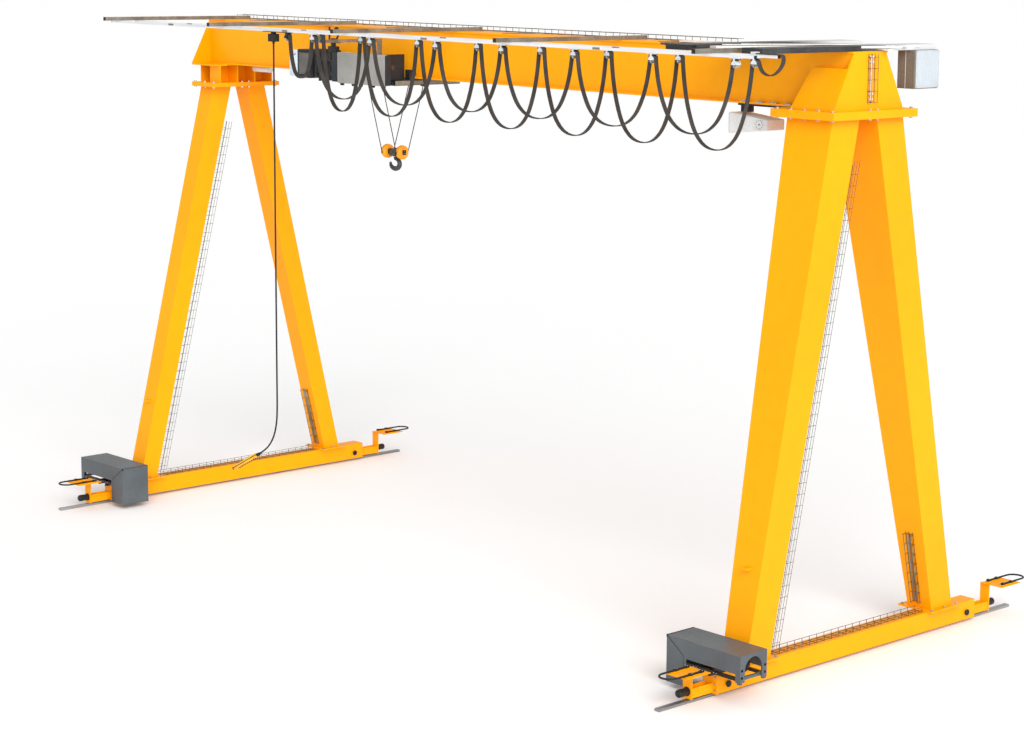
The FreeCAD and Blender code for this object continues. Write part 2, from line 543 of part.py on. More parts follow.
for xf in FALL_X:
    h = cyl((xf, HOOK_Y, HOOK_Z), (1, 0, 0), HOUSING_R, HOUSING_W)
    h = h.makeFillet(16, [e for e in h.Edges if e.Curve.TypeId == "Part::GeomCircle"])
    housings.append(h)
save("sheave_housings", Part.makeCompound(housings))


def tangent_ends(c1, r1, c2, r2):
    """Crossing tangent: leaves circle 1 on its -Y side and meets circle 2 on its +Y side."""
    dy, dz = c2[0] - c1[0], c2[1] - c1[1]
    d = math.hypot(dy, dz)
    base = math.atan2(dz, dy)
    off = math.acos((r1 + r2) / d)
    a = base + off
    return ((c1[0] + r1 * math.cos(a), c1[1] + r1 * math.sin(a)),
            (c2[0] - r2 * math.cos(a), c2[1] - r2 * math.sin(a)))


p0, p1 = tangent_ends((HOOK_Y, HOOK_Z), HOUSING_R + ROPE_R + ROPE_LIFT, (DRUM_Y, DRUM_Z),
                      DRUM_R + ROPE_R + ROPE_LIFT)
ropes = []
for xf in FALL_X:
    a, b = V(xf, p0[0], p0[1]), V(xf, p1[0], p1[1])
    ropes.append(Part.makeCylinder(ROPE_R, (b - a).Length, a, b - a))
    a = V(xf, HOOK_Y + HOUSING_R + ROPE_R + ROPE_LIFT, HOOK_Z + 10)
    b = V(xf, RET_Y, TR_Z0 - RET_DROP - RET_R - 2.1)
    ropes.append(Part.makeCylinder(ROPE_R, (b - a).Length, a, b - a))
save("hoist_ropes", Part.makeCompound(ropes))

# forged hook: shank, neck, wide bowl and point in the XZ plane
HK_R, HK_TIP_R = 33.0, 14.0
BOWL_A, BOWL_B = 98.0, 70.0              # half width and half height of the bowl's centreline
BOWL_Z = HOOK_Z - 160.0
SHANK_FOOT = HOOK_Z - 92.0
hook = Part.makeCylinder(SHANK_R, HOOK_Z + 24 - SHANK_FOOT, V(mid_x, HOOK_Y, SHANK_FOOT))
hook = hook.fuse(Part.makeCylinder(SHANK_R + 11, 18, V(mid_x, HOOK_Y, HOOK_Z + 20.3)))


def bowl_point(degrees):
    a = math.radians(degrees)
    return V(mid_x + BOWL_A * math.cos(a), HOOK_Y, BOWL_Z + BOWL_B * math.sin(a))


curve = Part.BSplineCurve()
curve.interpolate([V(mid_x + 4, HOOK_Y, SHANK_FOOT - 4)] + [bowl_point(d) for d in
                                                           (48, 20, -12, -45, -80, -115, -150, -192)])
edge = curve.toShape()
shell = Part.BRepOffsetAPI.MakePipeShell(Part.Wire([edge]))
shell.setFrenetMode(True)
for share, r in ((0.0, SHANK_R + 3), (0.22, HK_R - 3), (0.6, HK_R), (0.85, HK_R - 7), (1.0, HK_TIP_R)):
    par = edge.FirstParameter + share * (edge.LastParameter - edge.FirstParameter)
    circle = Part.makeCircle(r, edge.valueAt(par), edge.tangentAt(par))
    shell.add(Part.Wire([circle]), False, False)
shell.build()
shell.makeSolid()
save("hook", hook.fuse(Part.Solid(shell.shape())).removeSplitter())

# ---------------- end carriages: buffers, brackets, signal loops ----------------
BK_REACH = 350.0                         # face plate beyond the sill's end
BK_PLATE_T, BK_ARM_HALF, BK_FACE_HALF = 16.0, 60.0, 66.0
BK_TOP, BK_TRAY_T, BK_CLAMP_T = 380.0, 8.0, 8.0
BUFFER_R, BUFFER_L = 45.0, 150.0
LOOP_R, LOOP_X, LOOP_BULGE = 11.0, (20.0, 240.0), 110.0
EDGE = SILL_HALF
brackets, buffers, loops = [], [], []
for xc in (-HALF, HALF):
    base = box(xc - SILL_W / 2, xc + SILL_W / 2, -EDGE - BK_PLATE_T, -EDGE, SILL_Z0 - 6, SILL_TOP)
    arm = box(xc - BK_ARM_HALF, xc + BK_ARM_HALF, -EDGE - BK_REACH, -EDGE - BK_PLATE_T,
              SILL_Z0 + 30, SILL_Z0 + 85)
    face = box(xc - BK_FACE_HALF, xc + BK_FACE_HALF, -EDGE - BK_REACH - BK_PLATE_T,
               -EDGE - BK_REACH, RAIL_H + 12, BK_TOP)
    tray = box(xc - 30, xc + 290, -EDGE - BK_REACH - 330, -EDGE - BK_REACH + 40,
               BK_TOP, BK_TOP + BK_TRAY_T)
    br = base.fuse(arm).fuse(face).fuse(tray)
    clamps = []
    for xl in LOOP_X:
        clamps.append(box(xc + xl - 2 * LOOP_R, xc + xl + 2 * LOOP_R, -EDGE - BK_REACH - 300,
                          -EDGE - BK_REACH - 10, BK_TOP + BK_TRAY_T,
                          BK_TOP + BK_TRAY_T + BK_CLAMP_T))
    br = br.fuse(clamps[0]).fuse(clamps[1]).removeSplitter()
    buf = cyl((xc, -EDGE - BK_REACH - BK_PLATE_T - BUFFER_L / 2, RAIL_H + 95), (0, 1, 0),
              BUFFER_R, BUFFER_L)
    cz = BK_TOP + BK_TRAY_T + BK_CLAMP_T + LOOP_R + 0.3
    ya, yb = -EDGE - BK_REACH - 20, -EDGE - BK_REACH - 420
    a1, a2 = V(xc + LOOP_X[0], ya, cz), V(xc + LOOP_X[0], yb, cz)
    a3, a4 = V(xc + LOOP_X[1], yb, cz), V(xc + LOOP_X[1], ya, cz)
    crown = V(xc + sum(LOOP_X) / 2, yb - LOOP_BULGE, cz)
    loop = Part.Wire([Part.LineSegment(a1, a2).toShape(),
                      Part.Arc(a2, crown, a3).toShape(),
                      Part.LineSegment(a3, a4).toShape()])
    ring = Part.Wire([Part.makeCircle(LOOP_R, a1, V(0, 1, 0))])
    loop = loop.makePipeShell([ring], True, False)
    brackets += [br, mirror_y(br)]
    buffers += [buf, mirror_y(buf)]
    loops += [loop, mirror_y(loop)]
save("buffer_brackets", Part.makeCompound(brackets))
save("buffers", Part.makeCompound(buffers))
save("signal_loops", Part.makeCompound(loops))

# ---------------- travel drives under covers ----------------
CV_X = (HALF - 550.0, HALF + 550.0)
CV_Y = (-2370.0, -1950.0)
CV_TOP, CV_SIDE, CV_WALL = 585.0, 210.0, 4.0
CV_BOX_X = HALF - 250.0
CV_FOOT_Z = 60.0
CV_FACE_Z, CV_FACE_T = 285.0, 20.0
ARCH_DROP, ARCH_MARGIN = 175.0, 75.0
BAR_Z, BAR_SIZE = 300.0, 34.0
MOTOR_R, MOTOR_L, GEAR_R, GEAR_L = 86.0, 640.0, 96.0, 90.0
cv = box(CV_X[0], CV_X[1], CV_Y[0], CV_Y[1], CV_TOP - CV_SIDE, CV_TOP)
cv = cv.fuse(box(CV_X[0], CV_BOX_X, CV_Y[0], CV_Y[1], CV_FOOT_Z, CV_TOP))
cv = cv.fuse(box(CV_X[1] - 70, CV_X[1], CV_Y[0], CV_Y[1], CV_FACE_Z, CV_TOP))
inner = box(CV_X[0] + CV_WALL, CV_X[1] + 1, CV_Y[0] + CV_WALL, CV_Y[1] - CV_WALL,
            CV_FOOT_Z - 1, CV_TOP - CV_WALL)
arch_z = CV_TOP - ARCH_DROP
face = box(CV_X[1] - CV_FACE_T, CV_X[1], CV_Y[0], CV_Y[1], CV_FACE_Z, CV_TOP)
ym = (CV_Y[0] + CV_Y[1]) / 2.0
hole = box(CV_X[1] - 30, CV_X[1] + 10, CV_Y[0] + ARCH_MARGIN, CV_Y[1] - ARCH_MARGIN, 200, arch_z)
hole = hole.fuse(cyl((CV_X[1] - 10, ym, arch_z), (1, 0, 0),
                     (CV_Y[1] - CV_Y[0]) / 2 - ARCH_MARGIN, 60))
cv = cv.cut(inner).fuse(face.cut(hole)).removeSplitter()
bar = None
for yb in (CV_Y[0] + CV_WALL, CV_Y[1] - CV_WALL - BAR_SIZE):
    b = box(CV_BOX_X - 60, CV_X[1] - CV_FACE_T, yb, yb + BAR_SIZE, BAR_Z, BAR_Z + BAR_SIZE)
    bar = b if bar is None else bar.fuse(b)
cross_y = (CV_Y[0] + CV_WALL, CV_Y[1] - CV_WALL)
for xk in (HALF - 90, HALF + 90):
    bar = bar.fuse(box(xk - 15, xk + 15, cross_y[0], cross_y[1], SILL_TOP, BAR_Z + BAR_SIZE))
bar = bar.removeSplitter()
MOTOR_Y = -2150.0
MOTOR_X, MOTOR_Z = HALF + 95.0, BAR_Z + BAR_SIZE + MOTOR_R
motor = cyl((MOTOR_X, MOTOR_Y, MOTOR_Z), (1, 0, 0), MOTOR_R, MOTOR_L)
motor = motor.fuse(cyl((MOTOR_X - MOTOR_L / 2 - GEAR_L / 2, MOTOR_Y, MOTOR_Z), (1, 0, 0),
                       GEAR_R, GEAR_L))
motor = motor.removeSplitter()
save("motor_covers", Part.makeCompound([cv, mirror_x(cv)]))
save("cover_frames", Part.makeCompound([bar, mirror_x(bar)]))
save("travel_motors", Part.makeCompound([motor, mirror_x(motor)]))

# ---------------- wire-mesh cable trays ----------------
TRAY_W, TRAY_H, WIRE = 110.0, 55.0, 5.0


def mesh_tray(length, pitch, origin, along, up):
    """U-shaped tray of welded wires: runners inside, ribs outside, one solid."""
    bars = []
    n = max(int(length // pitch), 1)
    for yv, zv in ((-TRAY_W / 2, 0), (0, 0), (TRAY_W / 2 - WIRE, 0),
                   (-TRAY_W / 2, TRAY_H - WIRE), (TRAY_W / 2 - WIRE, TRAY_H - WIRE)):
        bars.append(box(0, length, yv, yv + WIRE, zv, zv + WIRE))
    for k in range(n + 1):
        x = min(k * pitch, length - WIRE)
        bars.append(box(x, x + WIRE, -TRAY_W / 2 - WIRE, TRAY_W / 2 + WIRE, -WIRE, 0))
        for s in (-1, 1):
            y0 = s * TRAY_W / 2
            bars.append(box(x, x + WIRE, y0, y0 + s * WIRE, -WIRE, TRAY_H))
    solid = bars[0].multiFuse(bars[1:]).removeSplitter()
    ex, ez = V(*along), V(*up)
    ex.normalize()
    ez = ez - ex * ez.dot(ex)
    ez.normalize()
    ey = ez.cross(ex)
    m = FreeCAD.Matrix(ex.x, ey.x, ez.x, origin[0], ex.y, ey.y, ez.y, origin[1],
                       ex.z, ey.z, ez.z, origin[2], 0, 0, 0, 1)
    return solid.transformed(m)


PITCH = 125.0
trays = []


def leg_inner(side, z, near=True):
    """Y of the inner face of a leg at a height."""
    if side == "right":
        y0, y1, zt = RIGID_Y_FOOT[0], RIGID_Y_TOP[0], RIGID_TOP_Z
    else:
        y0, y1, zt = SLENDER_Y_FOOT[0], SLENDER_Y_TOP[0], SLENDER_TOP_Z
    y = y0 + (y1 - y0) * (z - FOOT_TOP) / (zt - FOOT_TOP)
    return -y if near else y


for side, xc, dx in (("left", -HALF, 30.0), ("right", HALF, 20.0)):
    za, zb = FOOT_TOP + 60, (SLENDER_TOP_Z if side == "left" else RIGID_TOP_Z) - 500
    ya, yb = leg_inner(side, za), leg_inner(side, zb)
    run = math.hypot(yb - ya, zb - za)
    ny, nz = (zb - za) / run, -(yb - ya) / run
    trays.append(mesh_tray(run, PITCH, (xc + dx, ya + ny * WIRE, za + nz * WIRE),
                           (0, yb - ya, zb - za), (0, ny, nz)))
    zb = 1230.0
    ya, yb = leg_inner(side, za, False), leg_inner(side, zb, False)
    run = math.hypot(yb - ya, zb - za)
    ny, nz = -(zb - za) / run, (yb - ya) / run
    dx = -95 if side == "right" else -60
    trays.append(mesh_tray(run, PITCH, (xc + dx, ya + ny * WIRE, za + nz * WIRE),
                           (0, yb - ya, zb - za), (0, ny, nz)))
    y_sill = (RIGID_Y_FOOT[0] if side == "right" else SLENDER_Y_FOOT[0]) - FOOT_MARGIN - 10
    trays.append(mesh_tray(2 * y_sill, PITCH, (xc, -y_sill, SILL_TOP + WIRE),
                           (0, 1, 0), (0, 0, 1)))
save("leg_trays", Part.makeCompound(trays))
TRAY_Y = GIRDER_HALF_W - 50
save("girder_trays", Part.makeCompound([
    mesh_tray(10100.0, 2 * PITCH, (GIRDER_X[0] + 60, TRAY_Y, GIRDER_TOP + WIRE),
              (1, 0, 0), (0, 0, 1)),
    mesh_tray(540.0, PITCH, (GIRDER_X[1] + WIRE, 20, WEB_Z0 + 60), (0, 0, 1), (1, 0, 0))]))

# ---------------- cabinet, ducts and lamps ----------------
CAB = ((HALF - 150.0, HALF + 100.0), (800.0, 1220.0), (6460.0, GIRDER_TOP))
cab = box(CAB[0][0], CAB[0][1], CAB[1][0], CAB[1][1], CAB[2][0], CAB[2][1])
BRACKET_W, BRACKET_Z = 40.0, 6770.0
for xb in (CAB[0][0] + 20, CAB[0][1] - 20 - BRACKET_W):
    cab = cab.fuse(box(xb, xb + BRACKET_W, GIRDER_HALF_W, CAB[1][0], BRACKET_Z,
                       BRACKET_Z + BRACKET_W))
save("control_cabinet", cab.removeSplitter())
DUCT_X = ((4620.0, 4960.0), (5760.0, HALF + 60.0))
DUCT_Y, DUCT_H = (-1700.0, CAB[1][1]), 60.0
save("cable_ducts", Part.makeCompound([
    box(x0, x1, DUCT_Y[0], DUCT_Y[1], GIRDER_TOP, GIRDER_TOP + DUCT_H) for x0, x1 in DUCT_X]))

LX, LAMP_Y, LAMP_Z = 4380.0, -420.0, (5900.0, 6150.0)
lamp = plate([(LX, LAMP_Y, LAMP_Z[0]), (LX, LAMP_Y, LAMP_Z[1]), (LX + 330, LAMP_Y, LAMP_Z[1]),
              (LX + 600, LAMP_Y, LAMP_Z[1] - 60), (LX + 600, LAMP_Y, LAMP_Z[0] + 60),
              (LX + 300, LAMP_Y, LAMP_Z[0])], (0, 300, 0))
lb = box(LX + 60, LX + 860, -330, -180, GIRDER_Z0 - 24, GIRDER_Z0)
lb = lb.fuse(box(LX + 80, LX + 200, -300, -210, LAMP_Z[1], GIRDER_Z0 - 24))
save("lamp_bracket", lb.removeSplitter())
small = cyl((-5080, -150, GIRDER_Z0 - 45), (1, 0, 0), 45, 420)
save("floodlights", Part.makeCompound([lamp, small]))

os.makedirs("parts", exist_ok=True)
for name, shape in parts.items():
    if not shape.isValid():
        print("INVALID", name)
    shape.exportStep("parts/%s.step" % name)
allb = FreeCAD.BoundBox()
for shape in parts.values():
    allb.add(shape.BoundBox)
print(len(parts), "nodes", [round(v, 1) for v in (allb.XMin, allb.XMax, allb.YMin, allb.YMax,
                                                  allb.ZMin, allb.ZMax)])
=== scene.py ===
# %% [markdown]
# # A gantry crane, dressed on a fixed frame
# The crane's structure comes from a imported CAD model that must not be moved. This notebook gives
# every part a finish, models the soft and small pieces, and sets up a studio around them.

# %% Load the crane's frame
import json
import math
import bpy
from mathutils import Matrix, Vector


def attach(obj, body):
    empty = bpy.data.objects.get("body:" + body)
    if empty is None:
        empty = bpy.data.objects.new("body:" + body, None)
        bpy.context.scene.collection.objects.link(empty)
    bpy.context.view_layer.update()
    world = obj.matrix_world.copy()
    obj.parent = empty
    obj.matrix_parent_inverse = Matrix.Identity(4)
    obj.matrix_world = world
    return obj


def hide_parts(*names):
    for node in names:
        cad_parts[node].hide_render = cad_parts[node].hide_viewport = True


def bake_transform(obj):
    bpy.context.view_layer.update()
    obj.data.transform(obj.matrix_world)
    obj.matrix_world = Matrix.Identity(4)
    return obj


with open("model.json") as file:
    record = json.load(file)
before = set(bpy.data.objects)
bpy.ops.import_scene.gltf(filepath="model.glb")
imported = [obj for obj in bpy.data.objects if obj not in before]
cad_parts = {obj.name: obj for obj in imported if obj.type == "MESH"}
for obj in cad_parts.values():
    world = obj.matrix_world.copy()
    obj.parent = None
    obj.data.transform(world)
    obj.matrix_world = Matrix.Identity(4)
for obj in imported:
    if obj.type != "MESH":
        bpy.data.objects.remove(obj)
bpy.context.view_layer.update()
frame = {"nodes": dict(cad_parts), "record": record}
nodes = frame["nodes"]

# %% [markdown]
# ## The camera
# A long lens from the front right, a little above the girder, keeps the legs almost parallel. The
# lens is shifted slightly down and left, which frames the crane and keeps its legs upright.

# %% Set the camera
right = Vector((0.699045, 0.714940, 0.014029))
up = Vector((-0.118703, 0.096672, 0.988213))
back = Vector((0.705156, -0.692471, 0.152444))
lens_data = bpy.data.cameras.new("front_right")
lens_data.sensor_width = 36.0
lens_data.lens = 82.507
lens_data.shift_x = -0.12
lens_data.shift_y = -0.06
lens_data.clip_end = 3000.0
camera = bpy.data.objects.new("front_right", lens_data)
bpy.context.scene.collection.objects.link(camera)
turn = Matrix((right, up, back)).transposed()
camera.matrix_world = Matrix.Translation((22.852, -20.017, 7.934)) @ turn.to_4x4()
bpy.context.scene.camera = camera
print("lens", round(lens_data.lens, 1), "mm")

# %% [markdown]
# ## Small helpers
# Each piece starts as a primitive and is then shaped. Placing it by two opposite corners keeps the
# numbers readable, and applying the transform at once leaves the object at the origin, which the
# patterns on Object coordinates need.

# %% Helpers that place and shape a piece
def clear_selection():
    bpy.ops.object.select_all(action="DESELECT")


def take(piece):
    clear_selection()
    piece.select_set(True)
    bpy.context.view_layer.objects.active = piece


def settle(piece, name):
    """Gives the piece its name and moves its place into its mesh."""
    take(piece)
    bpy.ops.object.transform_apply(location=True, rotation=True, scale=True)
    piece.name = name
    piece.data.name = name
    return piece


def block(name, x, y, z, edge=0.0, rings=2):
    """A cuboid between two corners with its edges rounded."""
    clear_selection()
    middle = [(a + b) / 2 for a, b in (x, y, z)]
    bpy.ops.mesh.primitive_cube_add(size=1, location=middle)
    piece = bpy.context.object
    piece.scale = [abs(b - a) for a, b in (x, y, z)]
    settle(piece, name)
    if edge:
        round_edges(piece, edge, rings)
    return piece


def round_edges(piece, width, rings=2, angle=30):
    take(piece)
    bevel = piece.modifiers.new("edges", "BEVEL")
    bevel.width = width
    bevel.segments = rings
    bevel.limit_method = "ANGLE"
    bevel.angle_limit = math.radians(angle)
    bpy.ops.object.modifier_apply(modifier=bevel.name)
    return piece


AXES = {"x": Vector((1, 0, 0)), "y": Vector((0, 1, 0)), "z": Vector((0, 0, 1))}
LIE = {"x": (0, math.pi / 2, 0), "y": (-math.pi / 2, 0, 0), "z": (0, 0, 0)}


def rod(name, centre, axis, radius, length, sides=24, edge=0.0, rings=2):
    """A round bar about a centre, lying along an axis."""
    clear_selection()
    bpy.ops.mesh.primitive_cylinder_add(vertices=sides, radius=radius, depth=length,
                                        location=centre, rotation=LIE[axis])
    piece = settle(bpy.context.object, name)
    if edge:
        round_edges(piece, edge, rings)
    return piece


def bar(name, low, high, radius, sides=10, edge=0.0):
    """A round bar from one point to another."""
    low, high = Vector(low), Vector(high)
    clear_selection()
    bpy.ops.mesh.primitive_cylinder_add(vertices=sides, radius=radius, depth=(high - low).length,
                                        location=(low + high) / 2,
                                        rotation=(high - low).to_track_quat("Z", "Y").to_euler())
    piece = settle(bpy.context.object, name)
    if edge:
        round_edges(piece, edge, 1)
    return piece


def face_edit(piece, normal, steps, tolerance=0.9):
    """Insets and pushes the faces that look along a normal, step after step."""
    take(piece)
    aim = Vector(normal)
    for face in piece.data.polygons:
        face.select = face.normal.dot(aim) > tolerance
    for edge in piece.data.edges:
        edge.select = False
    for corner in piece.data.vertices:
        corner.select = False
    for face in piece.data.polygons:
        if face.select:
            for k in face.vertices:
                piece.data.vertices[k].select = True
    bpy.ops.object.mode_set(mode="EDIT")
    bpy.ops.mesh.select_mode(type="FACE")
    for inset, push in steps:
        if inset:
            bpy.ops.mesh.inset(thickness=inset, depth=0)
        if push:
            bpy.ops.mesh.extrude_region_move(
                TRANSFORM_OT_translate={"value": aim * push, "orient_type": "GLOBAL"})
    bpy.ops.object.mode_set(mode="OBJECT")
    return piece


def turned(name, outline, centre, axis, steps=48):
    """A lathe shape: the outline is (along, radius) pairs, spun round the axis."""
    clear_selection()
    along = AXES[axis]
    out = AXES["z"] if axis != "z" else AXES["x"]
    start = Vector(centre)
    bpy.ops.mesh.primitive_plane_add(size=0.001, location=(0, 0, 0))
    piece = bpy.context.object
    first = start + along * outline[0][0] + out * outline[0][1]
    bpy.ops.object.mode_set(mode="EDIT")
    bpy.ops.mesh.select_mode(type="VERT")
    bpy.ops.mesh.merge(type="CENTER")
    bpy.ops.transform.translate(value=first, orient_type="GLOBAL")
    for (a0, r0), (a1, r1) in zip(outline, outline[1:]):
        step = along * (a1 - a0) + out * (r1 - r0)
        bpy.ops.mesh.extrude_region_move(
            TRANSFORM_OT_translate={"value": step, "orient_type": "GLOBAL"})
    bpy.ops.mesh.select_all(action="SELECT")
    bpy.ops.mesh.spin(steps=steps, angle=math.tau, center=start, axis=along, use_auto_merge=True)
    bpy.ops.mesh.select_all(action="SELECT")
    bpy.ops.mesh.remove_doubles(threshold=0.00001)
    bpy.ops.mesh.normals_make_consistent(inside=False)
    bpy.ops.object.mode_set(mode="OBJECT")
    return settle(piece, name)


def join(name, pieces):
    clear_selection()
    for piece in pieces:
        piece.select_set(True)
    bpy.context.view_layer.objects.active = pieces[0]
    bpy.ops.object.join()
    return settle(bpy.context.object, name)


def mirrored(piece, name, axis=0):
    """A copy on the other side of the origin, its faces turned outwards again."""
    twin = piece.copy()
    twin.data = piece.data.copy()
    bpy.context.scene.collection.objects.link(twin)
    twin.scale[axis] = -1
    settle(twin, name)
    bpy.ops.object.mode_set(mode="EDIT")
    bpy.ops.mesh.select_all(action="SELECT")
    bpy.ops.mesh.normals_make_consistent(inside=False)
    bpy.ops.object.mode_set(mode="OBJECT")
    return twin


def smooth(piece, angle=40):
    take(piece)
    bpy.ops.object.shade_smooth_by_angle(angle=math.radians(angle))
    return piece


# %% [markdown]
# ## Finishes
# A painted steel crane has one colour, yet no two plates look the same: the paint is a little
# mottled, thin on the edges and dusty low down. The finishes below show only the mottling: each is
# a Principled shader fed by noise on Object coordinates, so the pattern stays put when a body
# moves.

# %% A helper that mixes a finish
def tone(red, green, blue):
    """A colour given as screen values, turned to linear light."""
    return [((c / 255 + 0.055) / 1.055) ** 2.4 if c > 10 else c / 3294.6
            for c in (red, green, blue)] + [1.0]


finishes = {}


def finish_of(name, dark, light, grain=(3.0, 40.0), rough=(0.3, 0.45), metal=0.0, bump=0.05,
              bump_grain=300.0, coat=0.0, stretch=(1, 1, 1), gleam=0.35):
    """Two tones mixed by soft noise, with its own roughness range and fine bump."""
    finish = bpy.data.materials.new(name)
    finish.use_nodes = True
    tree = finish.node_tree
    shader = tree.nodes["Principled BSDF"]
    place = tree.nodes.new("ShaderNodeTexCoord")
    scale = tree.nodes.new("ShaderNodeMapping")
    scale.inputs["Scale"].default_value = stretch
    tree.links.new(place.outputs["Object"], scale.inputs["Vector"])
    cloud = tree.nodes.new("ShaderNodeTexNoise")
    cloud.inputs["Scale"].default_value = grain[0]
    cloud.inputs["Detail"].default_value = 5
    speck = tree.nodes.new("ShaderNodeTexNoise")
    speck.inputs["Scale"].default_value = grain[1]
    speck.inputs["Detail"].default_value = 3
    fine = tree.nodes.new("ShaderNodeTexNoise")
    fine.inputs["Scale"].default_value = bump_grain
    for noise in (cloud, speck, fine):
        tree.links.new(scale.outputs["Vector"], noise.inputs["Vector"])
    blend = tree.nodes.new("ShaderNodeMath")
    blend.operation = "MULTIPLY_ADD"
    blend.inputs[1].default_value = 0.3
    tree.links.new(speck.outputs["Fac"], blend.inputs[0])
    part = tree.nodes.new("ShaderNodeMath")
    part.operation = "MULTIPLY"
    part.inputs[1].default_value = 0.7
    tree.links.new(cloud.outputs["Fac"], part.inputs[0])
    tree.links.new(part.outputs["Value"], blend.inputs[2])
    ramp = tree.nodes.new("ShaderNodeValToRGB")
    ramp.color_ramp.elements[0].position = 0.35
    ramp.color_ramp.elements[0].color = dark
    ramp.color_ramp.elements[1].position = 0.65
    ramp.color_ramp.elements[1].color = light
    tree.links.new(blend.outputs["Value"], ramp.inputs["Fac"])
    tree.links.new(ramp.outputs["Color"], shader.inputs["Base Color"])
    gloss = tree.nodes.new("ShaderNodeMapRange")
    gloss.inputs["From Min"].default_value = 0.3
    gloss.inputs["From Max"].default_value = 0.7
    gloss.inputs["To Min"].default_value = rough[0]
    gloss.inputs["To Max"].default_value = rough[1]
    tree.links.new(speck.outputs["Fac"], gloss.inputs["Value"])
    tree.links.new(gloss.outputs["Result"], shader.inputs["Roughness"])
    peel = tree.nodes.new("ShaderNodeBump")
    peel.inputs["Strength"].default_value = bump
    peel.inputs["Distance"].default_value = 0.001
    tree.links.new(fine.outputs["Fac"], peel.inputs["Height"])
    tree.links.new(peel.outputs["Normal"], shader.inputs["Normal"])
    shader.inputs["Metallic"].default_value = metal
    shader.inputs["Specular IOR Level"].default_value = gleam
    if coat:
        shader.inputs["Coat Weight"].default_value = coat
        shader.inputs["Coat Roughness"].default_value = 0.12
    finishes[name] = finish
    return finish


# %% [markdown]
# The crane's paint is a gloss orange yellow with a very slight orange-peel surface. The other
# finishes are zinc, satin dark paints, rubber, aluminium and moulded plastic.

# %% Mix the crane's finishes
finish_of("crane_paint", tone(247, 158, 1), tone(252, 166, 2), (0.35, 6.0), (0.34, 0.46),
          bump=0.06, bump_grain=160, coat=0.04, gleam=0.12)
finish_of("rail_steel", tone(120, 122, 124), tone(186, 188, 188), (2, 60), (0.28, 0.5), 0.9,
          0.2, 200, stretch=(1, 0.06, 1))
finish_of("wheel_iron", tone(46, 46, 48), tone(78, 78, 80), (6, 80), (0.35, 0.55), 0.7, 0.2)
finish_of("hoist_dark", tone(26, 28, 31), tone(44, 46, 50), (3, 50), (0.38, 0.55), 0.0, 0.12)
finish_of("hoist_light", tone(140, 138, 132), tone(166, 165, 160), (2, 40), (0.38, 0.5), 0.0, 0.06)
finish_of("hoist_blue_grey", tone(196, 204, 212), tone(222, 228, 234), (2, 40), (0.38, 0.5))
finish_of("drum_steel", tone(70, 66, 62), tone(110, 106, 100), (8, 90), (0.35, 0.55), 0.8, 0.2)
finish_of("block_paint", tone(226, 138, 4), tone(250, 172, 14), (6, 70), (0.32, 0.5), 0.0, 0.15,
          coat=0.2)
finish_of("hook_steel", tone(58, 62, 66), tone(88, 92, 96), (14, 120), (0.45, 0.65), 0.55, 0.35)
finish_of("rope_steel", tone(52, 46, 40), tone(96, 88, 80), (20, 200), (0.4, 0.6), 0.7, 0.4)
finish_of("cover_grey", tone(74, 80, 84), tone(88, 95, 99), (2, 30), (0.34, 0.46), 0.0, 0.06)
finish_of("frame_black", tone(16, 17, 18), tone(34, 35, 36), (5, 60), (0.35, 0.55), 0.0, 0.12)
finish_of("motor_paint", tone(240, 176, 2), tone(254, 196, 4), (4, 40), (0.3, 0.45), 0.0, 0.08,
          gleam=0.15)
finish_of("galvanised", tone(120, 112, 98), tone(166, 160, 148), (5, 45), (0.35, 0.55), 0.75, 0.15)
finish_of("tray_zinc", tone(74, 68, 50), tone(126, 118, 94), (4, 60), (0.4, 0.6), 0.4, 0.1)
finish_of("rail_aluminium", tone(206, 209, 212), tone(238, 240, 242), (2, 40), (0.3, 0.42), 0.35,
          0.08, 120, stretch=(0.04, 1, 1))
finish_of("cable_rubber", tone(40, 38, 36), tone(66, 62, 58), (4, 60), (0.5, 0.7), 0.0, 0.2, 160)
finish_of("saddle_white", tone(196, 200, 204), tone(232, 234, 236), (8, 80), (0.35, 0.5), 0.3, 0.1)
finish_of("trim_black", tone(14, 14, 14), tone(34, 34, 34), (8, 80), (0.5, 0.7), 0.0, 0.2)
finish_of("cabinet_grey", tone(168, 175, 182), tone(188, 195, 201), (2, 40), (0.36, 0.48))
finish_of("cabinet_side", tone(98, 92, 84), tone(128, 122, 112), (2, 40), (0.36, 0.48))
finish_of("duct_dark", tone(24, 24, 25), tone(70, 71, 72), (1.5, 30), (0.36, 0.5), 0.1)
finish_of("duct_pale", tone(196, 194, 188), tone(232, 231, 226), (1.5, 30), (0.36, 0.5), 0.2)
finish_of("lamp_white", tone(206, 206, 205), tone(228, 228, 227), (3, 40), (0.35, 0.45))
finish_of("lamp_grey", tone(92, 90, 86), tone(124, 121, 116), (3, 40), (0.4, 0.5), 0.3)
finish_of("pendant_yellow", tone(232, 160, 12), tone(250, 186, 24), (8, 70), (0.38, 0.52))
finish_of("bolt_zinc", tone(150, 146, 136), tone(214, 212, 204), (20, 120), (0.25, 0.4), 0.85)
print("finishes mixed:", len(finishes))
